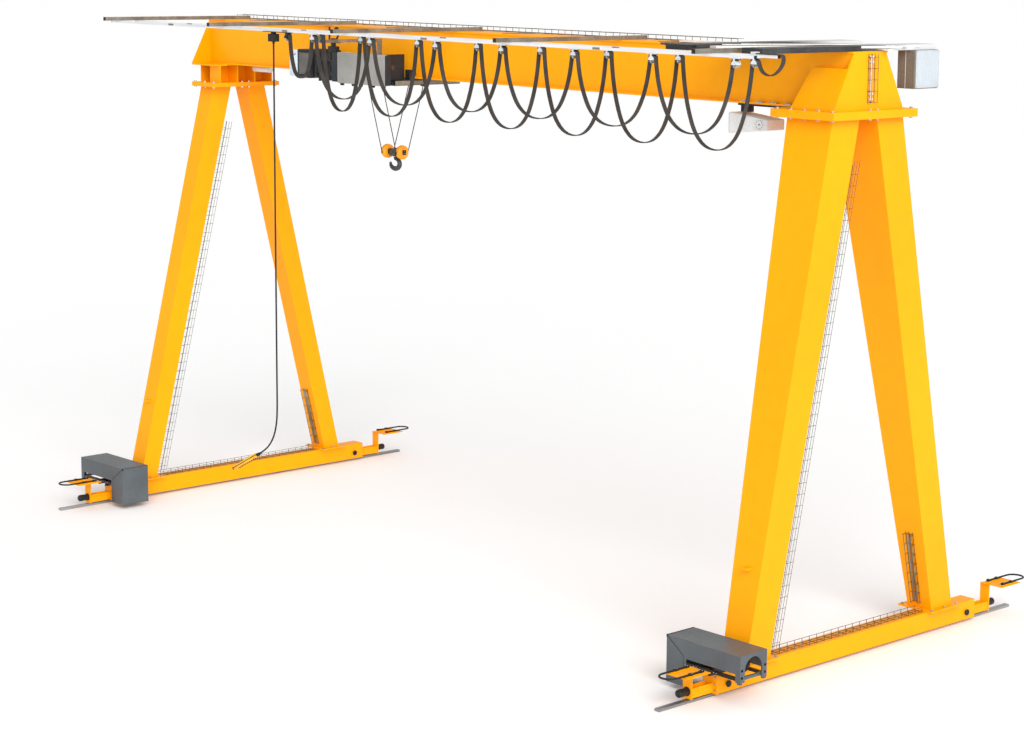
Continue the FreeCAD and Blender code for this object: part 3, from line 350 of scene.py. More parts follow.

# %% [markdown]
# The flat ducts are painted dark at the near side and paler towards the far side of the girder. A
# second colour is mixed in along Y of the Object coordinates, so one material covers the whole
# change.

# %% Fade the flat ducts across the girder
fade = finishes["duct_dark"].node_tree
spot = fade.nodes.new("ShaderNodeTexCoord")
axes = fade.nodes.new("ShaderNodeSeparateXYZ")
along = fade.nodes.new("ShaderNodeMapRange")
along.inputs["From Min"].default_value = -0.10
along.inputs["From Max"].default_value = 0.75
mixer = fade.nodes.new("ShaderNodeMix")
mixer.data_type = "RGBA"
mixer.inputs["B"].default_value = tone(206, 207, 208)
fade.links.new(spot.outputs["Object"], axes.inputs["Vector"])
fade.links.new(axes.outputs["Y"], along.inputs["Value"])
fade.links.new(along.outputs["Result"], mixer.inputs["Factor"])
colours = next(node for node in fade.nodes if node.type == "VALTORGB")
shader = next(node for node in fade.nodes if node.type == "BSDF_PRINCIPLED")
fade.links.new(colours.outputs["Color"], mixer.inputs["A"])
fade.links.new(mixer.outputs["Result"], shader.inputs["Base Color"])
print("ducts fade along Y")

# %% [markdown]
# ## Paint the frame
# The record names one material slot for each CAD part. Filling the objects' slots from it paints
# the whole structure in one pass, and no mesh is touched.

# %% Give every CAD part its finish
for subpart in frame["record"]["subparts"]:
    for slot in nodes[subpart["node"]].material_slots:
        slot.material = finishes[subpart["material_slot"]]

# %% [markdown]
# A helper for the end of every piece: it sets the finish, lets the piece ride on a body, and hides
# the CAD parts it stands for.

# %% Helper that hands a piece over
def hand_over(piece, body, slot, finish=None, stands_for=(), soften=40):
    """Shades and paints a piece with its finish, or its slot's finish, parents it to its body and
    hides what it stands for.
    """
    if soften and piece.type == "MESH":
        smooth(piece, soften)
    if piece.type == "MESH" and finish is not False:
        piece.data.materials.clear()
        piece.data.materials.append(finishes[finish or slot])
    if body:
        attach(piece, body)
    if stands_for:
        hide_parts(*stands_for)
    return piece


# %% [markdown]
# ## Flat cables
# A festoon cable is a flat band that hangs from saddle to saddle in deep loops. Its line is one
# NURBS spline: four control points wrap a saddle, ten shape each loop. The band is then made by
# setting cross-pieces along the points read from that spline.

# %% Lines of the two flat cables
RADIUS = 0.0455
SADDLE_Z = 6.7947
LOOP = [(0.012, 0.14), (0.035, 0.32), (0.085, 0.56), (0.19, 0.85), (0.37, 1.02),
        (0.63, 1.02), (0.81, 0.85), (0.915, 0.56), (0.965, 0.32), (0.988, 0.14)]


def festoon_points(saddles, sags):
    points = [(saddles[0], SADDLE_Z + RADIUS)]
    for x0, x1, sag in zip(saddles, saddles[1:], sags):
        points += [(x0 + RADIUS, SADDLE_Z + RADIUS), (x0 + RADIUS, SADDLE_Z - 0.01)]
        a, b = x0 + RADIUS, x1 - RADIUS
        points += [(a + (b - a) * s, SADDLE_Z - sag * d) for s, d in LOOP]
        points += [(x1 - RADIUS, SADDLE_Z - 0.01), (x1 - RADIUS, SADDLE_Z + RADIUS)]
    return points + [(saddles[-1], SADDLE_Z + RADIUS)]


def cord_line(name, points, order=3):
    """A bare NURBS curve through control points."""
    curve = bpy.data.curves.new(name, "CURVE")
    curve.dimensions = "3D"
    curve.resolution_u = 8
    spline = curve.splines.new("NURBS")
    spline.points.add(len(points) - 1)
    for place, point in zip(spline.points, points):
        place.co = (*point, 1)
    spline.order_u = order
    spline.use_endpoint_u = True
    line = bpy.data.objects.new(name, curve)
    bpy.context.scene.collection.objects.link(line)
    return line


def line_points(line):
    """The points that the bare curve really passes through."""
    bpy.context.view_layer.update()
    mesh = bpy.data.meshes.new_from_object(line)
    points = [vertex.co.copy() for vertex in mesh.vertices]
    bpy.data.meshes.remove(mesh)
    return points


def run(points):
    return sum((b - a).length for a, b in zip(points, points[1:]))


# %% [markdown]
# The band's section is a flat rounded strip with shallow ribs, one for each conductor inside. The
# section is set square to the line at every point and the gaps are bridged with faces.

# %% Band that follows a line
BAND = [(-0.0300, 0.0), (-0.0285, 0.0045), (-0.0225, 0.0060), (-0.0180, 0.0048), (-0.0120, 0.0060),
        (-0.0060, 0.0048), (0.0, 0.0060), (0.0060, 0.0048), (0.0120, 0.0060), (0.0180, 0.0048),
        (0.0225, 0.0060), (0.0285, 0.0045), (0.0300, 0.0)]
SECTION = BAND + [(y, -t) for y, t in BAND[-2:0:-1]]


def band(name, line):
    points = line_points(line)
    corners, faces = [], []
    count = len(SECTION)
    for k, point in enumerate(points):
        ahead = (points[min(k + 1, len(points) - 1)] - points[max(k - 1, 0)]).normalized()
        side = Vector((-ahead.z, 0, ahead.x))
        corners += [point + side * t + Vector((0, y, 0)) for y, t in SECTION]
        if k:
            low = (k - 1) * count
            faces += [(low + i, low + (i + 1) % count, low + count + (i + 1) % count,
                       low + count + i) for i in range(count)]
    faces += [tuple(range(count)), tuple(reversed(range(len(corners) - count, len(corners))))]
    mesh = bpy.data.meshes.new(name)
    mesh.from_pydata(corners, [], faces)
    piece = bpy.data.objects.new(name, mesh)
    bpy.context.scene.collection.objects.link(piece)
    take(piece)
    bpy.ops.object.mode_set(mode="EDIT")
    bpy.ops.mesh.select_all(action="SELECT")
    bpy.ops.mesh.normals_make_consistent(inside=False)
    bpy.ops.object.mode_set(mode="OBJECT")
    bpy.data.objects.remove(line)
    return piece, points


# %% Supply cable, from the trolley's tow arm to the end of its rail
SUPPLY_Y = -1.75
supply_saddles = [-1.548, -0.698, 0.420, 1.538, 2.656, 3.774, 4.892, 6.010]
supply_sags = [0.890, 0.8965, 0.903, 0.9095, 0.916, 0.9225, 0.929]
supply_tail = [(6.050, 6.836), (6.066, 6.780), (6.110, 6.708), (6.190, 6.676), (6.270, 6.684),
               (6.345, 6.735), (6.395, 6.800), (6.410, 6.862), (6.392, 6.902), (6.330, 6.9025),
               (6.180, 6.9025), (6.030, 6.9025)]
supply_route = [(x, SUPPLY_Y, z) for x, z in festoon_points(supply_saddles, supply_sags)
                + supply_tail]
supply_band, supply_points = band("supply_band", cord_line("supply_line", supply_route))
hand_over(supply_band, None, "cable_rubber", stands_for=["supply_cable"])
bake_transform(supply_band)
print("supply cable", round(run(supply_points), 2), "m")

# %% Pendant cable, behind it on its own rail
PENDANT_Y = -2.05
pendant_saddles = [-1.850, -1.300, -0.130, 1.130, 2.320, 3.540, 4.780, 6.010]
pendant_sags = [0.490, 0.707, 0.7155, 0.724, 0.7325, 0.741, 0.7495]
pendant_route = [(x, PENDANT_Y, z) for x, z in festoon_points(pendant_saddles, pendant_sags)]
pendant_band, pendant_points = band("pendant_band", cord_line("pendant_line", pendant_route))
hand_over(pendant_band, "gantry", "cable_rubber", stands_for=["pendant_cable"])
print("pendant cable", round(run(pendant_points), 2), "m")

# %% [markdown]
# ## Pendant cord
# The round cord hangs almost straight down from the little trolley's box, then bends to the side
# where the operator's pendant is held. It is one bevelled NURBS curve with the same points as the
# CAD route.

# %% Cord of the control pendant
cord_route = [(-2.165, -2.05, 6.7347), (-2.163, -2.05, 4.6), (-2.160, -2.05, 2.11),
              (-2.160, -2.05, 1.93), (-2.170, -2.05, 1.76), (-2.205, -2.05, 1.61),
              (-2.270, -2.05, 1.48), (-2.365, -2.05, 1.37), (-2.480, -2.05, 1.29),
              (-2.600, -2.05, 1.225)]
pendant_cord = cord_line("pendant_cord_line", cord_route)
cord_length = run(line_points(pendant_cord))
pendant_cord.data.bevel_depth = 0.011
pendant_cord.data.bevel_resolution = 3
pendant_cord.data.use_fill_caps = True
pendant_cord.data.materials.append(finishes["trim_black"])
print("pendant cord", round(cord_length, 2), "m")

# %% [markdown]
# The pendant is a long moulded box in yellow with a black rim, two rows of push buttons, and a
# ribbed boot where the cord goes in. It is modelled lying along X and then turned to the slant at
# which it hangs.

# %% Control pendant
handle = block("handle", (0.02, 0.61), (-0.030, 0.030), (-0.030, 0.026), 0.010, 3)
face_edit(handle, (0, 0, 1), [(0.006, -0.002)], 0.99)
rim = block("rim", (0.012, 0.632), (-0.032, 0.032), (-0.012, 0.002), 0.006, 2)
buttons = []
for k in range(8):
    for side in (-0.013, 0.013):
        button = rod("button", (0.11 + 0.055 * k, side, 0.028), "z", 0.0085, 0.010, 20, 0.0015)
        face_edit(button, (0, 0, 1), [(0.002, -0.001)], 0.99)
        buttons.append(button)
boot = turned("boot", [(-0.055, 0.0115), (-0.055, 0.0145), (-0.04, 0.0155), (-0.039, 0.0185),
                       (-0.03, 0.0185), (-0.029, 0.0165), (-0.018, 0.0175), (-0.017, 0.0215),
                       (-0.006, 0.0215), (-0.005, 0.0195), (0.022, 0.024), (0.022, 0.0)],
              (0, 0, 0), "x", 24)
guard = block("guard", (0.600, 0.636), (-0.026, 0.026), (-0.022, 0.020), 0.009, 3)
yellow = join("pendant_shell", [handle])
black = join("pendant_trim", [rim, guard] + buttons)
boot.name = "pendant_boot"
slant = Vector((-0.570, 0, -0.290)).normalized()
side = Vector((0, 1, 0))
hang = Matrix((slant, side, slant.cross(side))).transposed().to_4x4()
for piece in (yellow, black, boot):
    piece.matrix_world = Matrix.Translation((-2.600, -2.05, 1.225)) @ hang
    settle(piece, piece.name)
hand_over(yellow, "gantry", "pendant_yellow", stands_for=["control_pendant"])
hand_over(black, "gantry", "trim_black")
hand_over(boot, "gantry", "trim_black")
hand_over(pendant_cord, "gantry", "trim_black", False, stands_for=["pendant_cord"])
print("pendant", [round(v, 2) for v in yellow.dimensions])

# %% [markdown]
# ## Hoist
# The rope hoist hangs beside the girder. On the left is a pale gear cover, next to it a black
# framed box with grey panels, then the drum behind a wide rounded front cover. Boxes with bevelled
# edges and inset faces give the folded sheet look with few faces.

# %% Gear cover and framed box
gear_cover = block("gear_cover", (-3.480, -3.300), (-0.850, -0.440), (6.205, 6.560), 0.018, 3)
face_edit(gear_cover, (0, -1, 0), [(0.020, -0.003)], 0.99)
face_edit(gear_cover, (-1, 0, 0), [(0.030, 0.006), (0.012, 0)], 0.99)
gear_box = block("gear_box", (-3.298, -3.010), (-0.846, -0.444), (6.190, 6.575), 0.010, 2)
face_edit(gear_box, (0, -1, 0), [(0.024, -0.012), (0.008, 0.006)], 0.99)
face_edit(gear_box, (0, 0, -1), [(0.030, -0.006)], 0.99)
panel = block("gear_panel", (-3.262, -3.046), (-0.850, -0.838), (6.232, 6.533), 0.006, 2)
face_edit(panel, (0, -1, 0), [(0.014, -0.002)], 0.99)
hand_over(gear_cover, "trolley", "hoist_light", "hoist_blue_grey", ["hoist_gearbox"])
hand_over(gear_box, "trolley", "hoist_dark")
hand_over(panel, "trolley", "hoist_light", "lamp_grey")
print("gear end", [round(v, 2) for v in gear_box.dimensions])

# %% Wide front cover with its feet
front_cover = block("front_cover", (-2.370, -1.340), (-0.880, -0.835), (6.160, 6.570), 0.016, 3)
face_edit(front_cover, (0, -1, 0), [(0.028, 0), (0.010, -0.004)], 0.99)
highlit_shoulder = block("cover_shoulder", (-2.372, -2.290), (-0.876, -0.700), (6.164, 6.566), 0.024, 4)
edge_strip = block("cover_edge", (-1.352, -1.336), (-0.878, -0.790), (6.168, 6.562), 0.005, 2)
hand_over(front_cover, "trolley", "hoist_light", stands_for=["hoist_panel_cover"])
# The rounded shoulder at the cover's left end takes the paler blue-grey finish instead of
# hoist_light: a painted highlight on its curve.
hand_over(highlit_shoulder, "trolley", "hoist_light", "hoist_blue_grey")
hand_over(edge_strip, "trolley", "hoist_dark")
feet = []
for x in (-2.300, -2.050, -1.900, -1.640, -1.420):
    foot = rod("foot", (x, -0.845, 6.150), "x", 0.020, 0.050, 24, 0.004)
    face_edit(foot, (1, 0, 0), [(0.006, -0.004)], 0.99)
    feet.append(foot)
hand_over(join("cover_feet", feet), "trolley", "trim_black")
print("front cover made")

# %% [markdown]
# The drum is a lathe shape. Its outline steps up at the flanges and runs through shallow grooves
# where the rope lies, and it is spun round the drum's axis.

# %% Grooved drum
DRUM = (-2.220, -0.600, 6.395)
outline = [(-0.693, 0.0), (-0.693, 0.032), (-0.669, 0.032), (-0.669, 0.158), (-0.665, 0.162),
           (-0.649, 0.162), (-0.645, 0.158), (-0.645, 0.1405)]
for k in range(30):
    x = -0.620 + 0.042 * k
    outline += [(x, 0.1405), (x + 0.010, 0.1330), (x + 0.032, 0.1330)]
outline += [(0.645, 0.1405), (0.645, 0.158), (0.649, 0.162), (0.665, 0.162), (0.669, 0.158),
            (0.669, 0.032), (0.693, 0.032), (0.693, 0.0)]
drum = turned("rope_drum", outline, DRUM, "x", 40)
hand_over(drum, "drum", "drum_steel", stands_for=["hoist_drum"])
turns = [rod("turn", (x + way * 0.013 * k, *DRUM[1:]), "x", 0.1445, 0.0105, 40, 0.0035)
         for x, way in ((-2.330, -1), (-2.020, 1)) for k in range(12)]
hand_over(join("drum_rope", turns), "drum", "rope_steel")
print("drum length", round(drum.dimensions.x, 2))

# %% [markdown]
# Between the gear end and the front cover sit the hoist motor, a brake housing and small brackets.
# They show as dark shapes behind the cables, so plain bevelled solids with cooling ribs will do.

# %% Hoist motor, ribs and brackets
MOTOR_AXIS = (-0.745, 6.340)
RIB_PITCH = 0.030
motor_parts = [rod("motor", (-2.760, *MOTOR_AXIS), "x", 0.085, 0.330, 40, 0.010)]
for k in range(9):
    motor_parts.append(rod("rib", (-2.880 + RIB_PITCH * k, *MOTOR_AXIS), "x", 0.094, 0.008, 40,
                           0.002))
motor_parts.append(block("brake", (-2.600, -2.560), (-0.815, -0.690), (6.230, 6.450), 0.012, 2))
motor_parts.append(block("rib_box", (-2.985, -2.930), (-0.800, -0.650), (6.210, 6.480), 0.010, 2))
for x in ((-2.850, -2.800), (-2.660, -2.620)):
    motor_parts.append(block("strut", x, (-0.790, -0.740), (6.420, 6.560), 0.006, 2))
hand_over(join("hoist_motor", motor_parts), "trolley", "hoist_dark")
beam_strips = [block("strip", (x - 0.002, x + 0.004), (-0.636, 0.466), (6.166, 6.220), 0.0015, 1)
               for x in (-1.434, -3.006)]
hand_over(join("beam_strips", beam_strips), "trolley", "galvanised")
stops = [rod("stop", (x, y, 6.193), "y", 0.026, 0.030, 24, 0.006)
         for x in (-2.960, -1.480) for y in (-0.656, 0.486)]
hand_over(join("beam_stops", stops), "trolley", "trim_black")
clamp = [block("clamp", (-2.62, -2.44), (-0.842, -0.780), (6.560, 6.640), 0.008, 2),
         block("clamp", (-2.56, -2.50), (-0.838, -0.790), (6.640, 6.745), 0.008, 2)]
hand_over(join("cable_clamp", clamp), "trolley", "trim_black")
print("hoist motor made")

# %% [markdown]
# ## Hook block
# Each sheave runs in a round orange housing: a black grooved rim on one side, a domed cover with a
# dark plate on the other. Both are lathe shapes about the same centre, made once for each side.

# %% Sheave housings
BLOCK_Y, BLOCK_Z = -0.050, 5.215
dome = [(-0.026, 0.020), (-0.026, 0.091), (-0.021, 0.0955), (0.012, 0.0955), (0.024, 0.092),
        (0.033, 0.083), (0.039, 0.066), (0.0415, 0.046), (0.0415, 0.0)]
rim = [(-0.042, 0.0), (-0.042, 0.070), (-0.0395, 0.087), (-0.036, 0.089), (-0.033, 0.080),
       (-0.030, 0.089), (-0.0265, 0.087), (-0.0265, 0.0)]
for side, x in (("left", -2.330), ("right", -2.020)):
    shell = turned("sheave_dome_" + side, dome, (x, BLOCK_Y, BLOCK_Z), "x", 48)
    wheel = turned("sheave_rim_" + side, rim, (x, BLOCK_Y, BLOCK_Z), "x", 48)
    badge = block("sheave_badge_" + side, (x + 0.0405, x + 0.0445),
                  (BLOCK_Y - 0.033, BLOCK_Y + 0.033), (BLOCK_Z - 0.034, BLOCK_Z + 0.034), 0.0015, 1)
    round_edges(badge, 0.012, 3)
    screws = [rod("screw", (x + 0.0455, BLOCK_Y + dy, BLOCK_Z + dz), "x", 0.0045, 0.003, 12, 0.001)
              for dy, dz in ((-0.018, -0.014), (0.0, -0.018), (0.018, -0.014), (0.0, 0.016))]
    hand_over(shell, "hook_block", "block_paint",
              stands_for=["sheave_housings"] if side == "left" else ())
    hand_over(wheel, "hook_block", "hook_steel", "trim_black")
    hand_over(badge, "hook_block", "hook_steel", "frame_black")
    hand_over(join("sheave_screws_" + side, screws), "hook_block", "bolt_zinc")
print("sheave housings made")

# %% [markdown]
# The crosshead between the housings has two side straps, and the shank's nut sits in its middle.
# A bright collar closes the gap between crosshead and hook.

# %% Crosshead straps and shank collar
straps = []
for y in (BLOCK_Y - 0.0475, BLOCK_Y + 0.0475):
    straps.append(block("strap", (-2.240, -2.110), (y - 0.003, y + 0.003), (5.168, 5.262),
                        0.0025, 2))
    straps.append(rod("pin", (-2.175, y + (0.006 if y > BLOCK_Y else -0.006), 5.215), "y", 0.018,
                      0.010, 24, 0.003))
hand_over(join("crosshead_straps", straps), "hook_block", "hoist_dark", "drum_steel")
collar = turned("shank_collar", [(-0.010, 0.0205), (-0.010, 0.0275), (-0.008, 0.0290),
                                 (0.0005, 0.0290), (0.002, 0.0275), (0.002, 0.0205),
                                 (-0.010, 0.0205)], (-2.175, BLOCK_Y, 5.1555), "z", 32)
hand_over(collar, "load_hook", "hook_steel", "bolt_zinc")
print("collar made")

# %% [markdown]
# ## Hoist ropes
# Four taut falls run from the drum and the return sheaves to the hook block. They change length as
# the hook moves, so each rope is a straight bar with end rings only. The four bars are joined into
# one piece that rides on no body.

# %% Four rope falls
falls = []
for x in (-2.330, -2.020):
    for low, high in (((x, -0.14943, 5.19011), (x, -0.45983, 6.43009)),
                      ((x, 0.0525, 5.225), (x, 0.310, 6.0939))):
        falls.append(bar("fall", low, high, 0.006, 12))
ropes = join("rope_falls", falls)
hand_over(ropes, None, "rope_steel", stands_for=["hoist_ropes"])
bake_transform(ropes)
print("rope falls", len(falls))

# %% [markdown]
# ## Girder details
# The web carries a plain number, painted by hand-cut stencil. Text is made a mesh and stands a
# hair proud of the plate, like a thick coat of paint.

# %% Number on the web
clear_selection()
bpy.ops.object.text_add(location=(-3.400, -0.2795, 6.655), rotation=(math.pi / 2, 0, 0))
number = bpy.context.object
number.data.body = "12"
number.data.size = 0.30
number.data.extrude = 0.0006
number.data.offset = 0.006
number.data.space_character = 1.15
bpy.ops.object.convert(target="MESH")
settle(number, "web_number")
hand_over(number, "gantry", "frame_black", soften=0)
print("number", [round(v, 2) for v in number.dimensions])

# %% [markdown]
# A bolt is a washer, a hexagon head and a short thread end. It is modelled once at the origin and
# copied to each place, and the copies on one plate are joined into one piece.

# %% Bolt pattern
def bolt(name, radius=0.016, height=0.012):
    washer = rod("washer", (0, 0, 0.0015), "z", radius * 1.25, 0.003, 24, 0.0008, 1)
    head = rod("head", (0, 0, 0.003 + height / 2), "z", radius, height, 6, radius * 0.12, 2)
    face_edit(head, (0, 0, 1), [(radius * 0.2, 0.0012)], 0.99)
    return join(name, [washer, head])


def bolt_row(name, places, axis="z", radius=0.016, height=0.012, body="gantry"):
    """Copies of one bolt, its head looking along the axis."""
    turns = {"z": (0, 0, 0), "-z": (math.pi, 0, 0), "x": (0, math.pi / 2, 0),
             "-y": (math.pi / 2, 0, 0), "y": (-math.pi / 2, 0, 0), "-x": (0, -math.pi / 2, 0)}
    pattern = bolt("pattern", radius, height)
    copies = []
    for place in places:
        twin = pattern.copy()
        twin.data = pattern.data.copy()
        bpy.context.scene.collection.objects.link(twin)
        twin.rotation_euler = turns[axis]
        twin.location = place
        copies.append(settle(twin, "bolt"))
    bpy.data.objects.remove(pattern)
    return hand_over(join(name, copies), body, "bolt_zinc")


# %% [markdown]
# Six bolts hold each leg's foot plate on its sill, three along either side of the leg. Their
# places come from the plate's outline, so the rows stay parallel to its edges.

# %% Bolts of the four feet
FEET = {"right": (5.670, 6.188, 1.335, 1.880), "left": (-6.272, -5.812, 1.431, 1.865)}
foot_places = []
for side, (x0, x1, y0, y1) in FEET.items():
    for near in (-1, 1):
        for x in (x0 + 0.035, x1 - 0.035):
            for y in (y0 + 0.035, (y0 + y1) / 2, y1 - 0.035):
                foot_places.append((x, near * y, 0.286))
bolt_row("foot_bolts", foot_places, "z", 0.019, 0.014)
print("foot bolts", len(foot_places))

# %% [markdown]
# Each wheel axle ends in a dark cap on both sides of the sill. A cap is a short lathe shape, and
# the two caps of a wheel are one piece, because they turn with it.

# %% Hub caps on the wheel axles
WHEEL_Y, AXLE_Z = 2.090, 0.1302
hub_outline = [(0.0, 0.0), (0.0, 0.036), (0.004, 0.038), (0.010, 0.038), (0.014, 0.034),
               (0.014, 0.024), (0.018, 0.022), (0.020, 0.018), (0.020, 0.0)]
for tag, x in (("left", -6.0), ("right", 6.0)):
    for spot, y in (("near", -WHEEL_Y), ("far", WHEEL_Y)):
        pair = [turned("hub", [(side * a, r) for a, r in hub_outline],
                       (x + side * 0.124, y, AXLE_Z), "x", 32) for side in (-1, 1)]
        hand_over(join("hub_caps_%s_%s" % (tag, spot), pair), "wheel_%s_%s" % (tag, spot),
                  "bolt_zinc", "frame_black")
print("hub caps made")

# %% [markdown]
# ## Motor covers
# A folded sheet hood covers each travel motor. Thin dark lines mark the seams where its sheets
# meet, a folded lip runs along the top edge, painted brighter than the hood as a painted highlight,
# and screws hold the arched end plate.

# %% Seams, lips and screws of the covers
def both_sides(name, pieces, slot, finish=None, body="gantry"):
    """Joins the right hood's pieces and mirrors them to the left hood."""
    right_piece = join(name + "_right", pieces)
    left_piece = mirrored(right_piece, name + "_left")
    hand_over(right_piece, body, slot, finish)
    hand_over(left_piece, body, slot, finish)


seam = []
slope = block("seam", (-0.150, 0.150), (-0.0015, 0.0015), (-0.0030, 0.0030), 0.001, 1)
slope.rotation_euler = (0, math.radians(35.0), 0)
slope.location = (5.582, -2.3710, 0.492)
seam.append(settle(slope, "seam"))
seam.append(block("seam", (5.450, 5.456), (-2.372, -1.948), (0.583, 0.590), 0.001, 1))
seam.append(block("seam", (5.447, 5.462), (-2.374, -2.356), (0.560, 0.592), 0.003, 2))
seam.append(block("seam", (5.703, 5.708), (-2.3715, -2.3690), (0.060, 0.404), 0.0008, 1))
both_sides("cover_seams", seam, "frame_black", "trim_black")
lip = [block("lip", (5.470, 6.548), (-2.3725, -2.3680), (0.580, 0.587), 0.0015, 1),
       block("lip", (5.470, 6.548), (-1.9520, -1.9475), (0.580, 0.587), 0.0015, 1)]
# The lips get the paler lamp_grey finish instead of the hood's grey: a painted highlight along the
# top edge.
both_sides("cover_lips_highlight", lip, "cover_grey", "lamp_grey")
print("cover seams made")

# %% [markdown]
# Four screws hold the end plate, and four more hold the black bars across the open bottom. The end
# plate's screws are cut flat at the hood's outer face, so nothing stands past the crane's outline.

# %% Screws of the arched end plates
COVER_END_X = 6.550
plate_screws = []
for y in (-2.340, -1.980):
    for z in (0.340, 0.420):
        plate_screws.append(rod("screw", (6.552, y, z), "x", 0.0105, 0.008, 20, 0.002))
        plate_screws.append(rod("washer", (6.5485, y, z), "x", 0.0160, 0.003, 20, 0.0008, 1))
for piece in plate_screws:
    for corner in piece.data.vertices:
        corner.co.x = min(corner.co.x, COVER_END_X)
both_sides("cover_screws", plate_screws, "bolt_zinc")
bar_screws = [rod("screw", (x, -2.3665, 0.317), "y", 0.007, 0.003, 16, 0.001)
              for x in (5.86, 5.90, 6.16, 6.20)]
both_sides("bar_screws", bar_screws, "bolt_zinc")
skirt = [block("corner_post", (6.500, 6.546), (-2.368, -2.325), (0.262, 0.330), 0.004, 2),
         block("corner_post", (6.500, 6.546), (-1.995, -1.952), (0.262, 0.330), 0.004, 2),
         block("end_bar", (6.490, 6.525), (-2.330, -1.990), (0.300, 0.334), 0.004, 2)]
both_sides("cover_posts", skirt, "cover_grey")
print("cover screws made")

# %% [markdown]
# Under each hood the travel gear shows: a ribbed yellow motor with a dark fan cowl, a gear case
# with its flange, and a terminal box on top. The ribs are thin discs threaded on the motor.

# %% Travel motor with cooling ribs
TRAVEL_AXIS = (-2.150, 0.420)
motor_bits = [rod("motor", (6.080, *TRAVEL_AXIS), "x", 0.074, 0.600, 40, 0.008)]
for k in range(16):
    motor_bits.append(rod("rib", (5.845 + RIB_PITCH * k, *TRAVEL_AXIS), "x", 0.086, 0.008, 40,
                          0.002))
motor_bits.append(rod("flange", (5.760, *TRAVEL_AXIS), "x", 0.096, 0.030, 40, 0.005))
motor_bits.append(rod("gear", (5.715, *TRAVEL_AXIS), "x", 0.088, 0.062, 40, 0.010))
motor_bits.append(block("terminal_box", (5.960, 6.100), (-2.200, -2.100), (0.490, 0.545), 0.010, 3))
motor_right = join("travel_motor_right", motor_bits)
motor_left = mirrored(motor_right, "travel_motor_left")
hand_over(motor_right, "gantry", "motor_paint", stands_for=["travel_motors"])
hand_over(motor_left, "gantry", "motor_paint")
cowl = turned("cowl", [(0.0, 0.0), (0.0, 0.082), (0.010, 0.087), (0.075, 0.087), (0.085, 0.080),
                       (0.088, 0.060), (0.084, 0.056), (0.084, 0.0)],
              (6.330, *TRAVEL_AXIS), "x", 40)
both_sides("fan_cowl", [cowl], "frame_black")
print("travel motors made")

# %% [markdown]
# ## End brackets
# Each end of a sill carries a bolted plate with a buffer and a flat tray. Black clamps hold the
# two legs of a stiff signal loop on the tray. The clamps are rounded blocks with two screws each.

# %% Clamps and screws on the four trays
clamps, tray_screws, plate_bolts, gussets = [], [], [], []
for x in (-6.0, 6.0):
    for end in (-1, 1):
        for offset in (0.020, 0.240):
            for along in (2.640, 2.800):
                y = end * along
                clamps.append(block("clamp", (x + offset - 0.020, x + offset + 0.020),
                                    (y - 0.030, y + 0.030), (0.3965, 0.4215), 0.008, 3))
                for dx in (-0.014, 0.014):
                    tray_screws.append(rod("screw", (x + offset + dx, y, 0.4235), "z", 0.006,
                                           0.006, 16, 0.0015))
        for dx in (-0.085, 0.085):
            for z in (0.080, 0.150, 0.225):
                plate_bolts.append((x + dx, end * 2.2565, z, end))
        for dx in (-0.052, 0.052):
            gussets.append(block("gusset", (x + dx - 0.005, x + dx + 0.005),
                                 (end * 2.257, end * 2.589), (0.050, 0.160), 0.003, 1))
hand_over(join("loop_clamps", clamps), "gantry", "trim_black")
hand_over(join("clamp_screws", tray_screws), "gantry", "bolt_zinc")
hand_over(join("bracket_gussets", gussets), "gantry", "crane_paint")
bolt_row("plate_bolts_near", [p[:3] for p in plate_bolts if p[3] < 0], "-y", 0.012, 0.010)
bolt_row("plate_bolts_far", [p[:3] for p in plate_bolts if p[3] > 0], "y", 0.012, 0.010)
print("clamps", len(clamps))

# %% [markdown]
# The buffer is a rubber cylinder, thicker towards its free end, on a thin steel washer. The lathe
# gives it a soft rounded nose.

# %% Rubber buffers
nose = [(0.0, 0.0), (0.0, 0.050), (0.006, 0.052), (0.010, 0.044), (0.060, 0.0435), (0.120, 0.045),
        (0.138, 0.043), (0.147, 0.035), (0.150, 0.020), (0.150, 0.0)]
for tag, x in (("left", -6.0), ("right", 6.0)):
    for spot, end in (("near", -1), ("far", 1)):
        name = "buffer_%s_%s" % (tag, spot)
        buffer = turned(name, [(end * a, r) for a, r in nose], (x, end * 2.606, 0.125), "y", 36)
        hand_over(buffer, "gantry", "trim_black", "frame_black",
                  ["buffers"] if name == "buffer_left_near" else ())
print("buffers made")

# %% [markdown]
# ## Carriages of the festoons
# Every saddle hangs from a small carriage on the C-rail. The carriage has a black roller body on
# top and a pale wire clip that keeps the cable on the saddle.

# %% Carriage tops and cable clips
def carriage_trim(name, x, y, body):
    top = [block("top", (x - 0.046, x + 0.046), (y - 0.030, y + 0.030), (6.8475, 6.8545), 0.003, 2),
           block("pin", (x - 0.062, x - 0.048), (y - 0.016, y + 0.016), (6.8480, 6.8620), 0.004, 2),
           block("pin", (x + 0.048, x + 0.062), (y - 0.016, y + 0.016), (6.8480, 6.8620), 0.004, 2)]
    hand_over(join(name + "_top", top), body, "trim_black")
    clip = [block("clip", (x - 0.028, x - 0.018), (y - 0.039, y + 0.039), (6.770, 6.779), 0.003, 2),
            block("clip", (x + 0.018, x + 0.028), (y - 0.039, y + 0.039), (6.770, 6.779), 0.003, 2),
            rod("bolt", (x, y, 6.781), "y", 0.007, 0.088, 16, 0.002),
            block("wing", (x - 0.010, x + 0.010), (y - 0.036, y + 0.036), (6.755, 6.776), 0.004, 2)]
    hand_over(join(name + "_clip", clip), body, "saddle_white", "bolt_zinc")


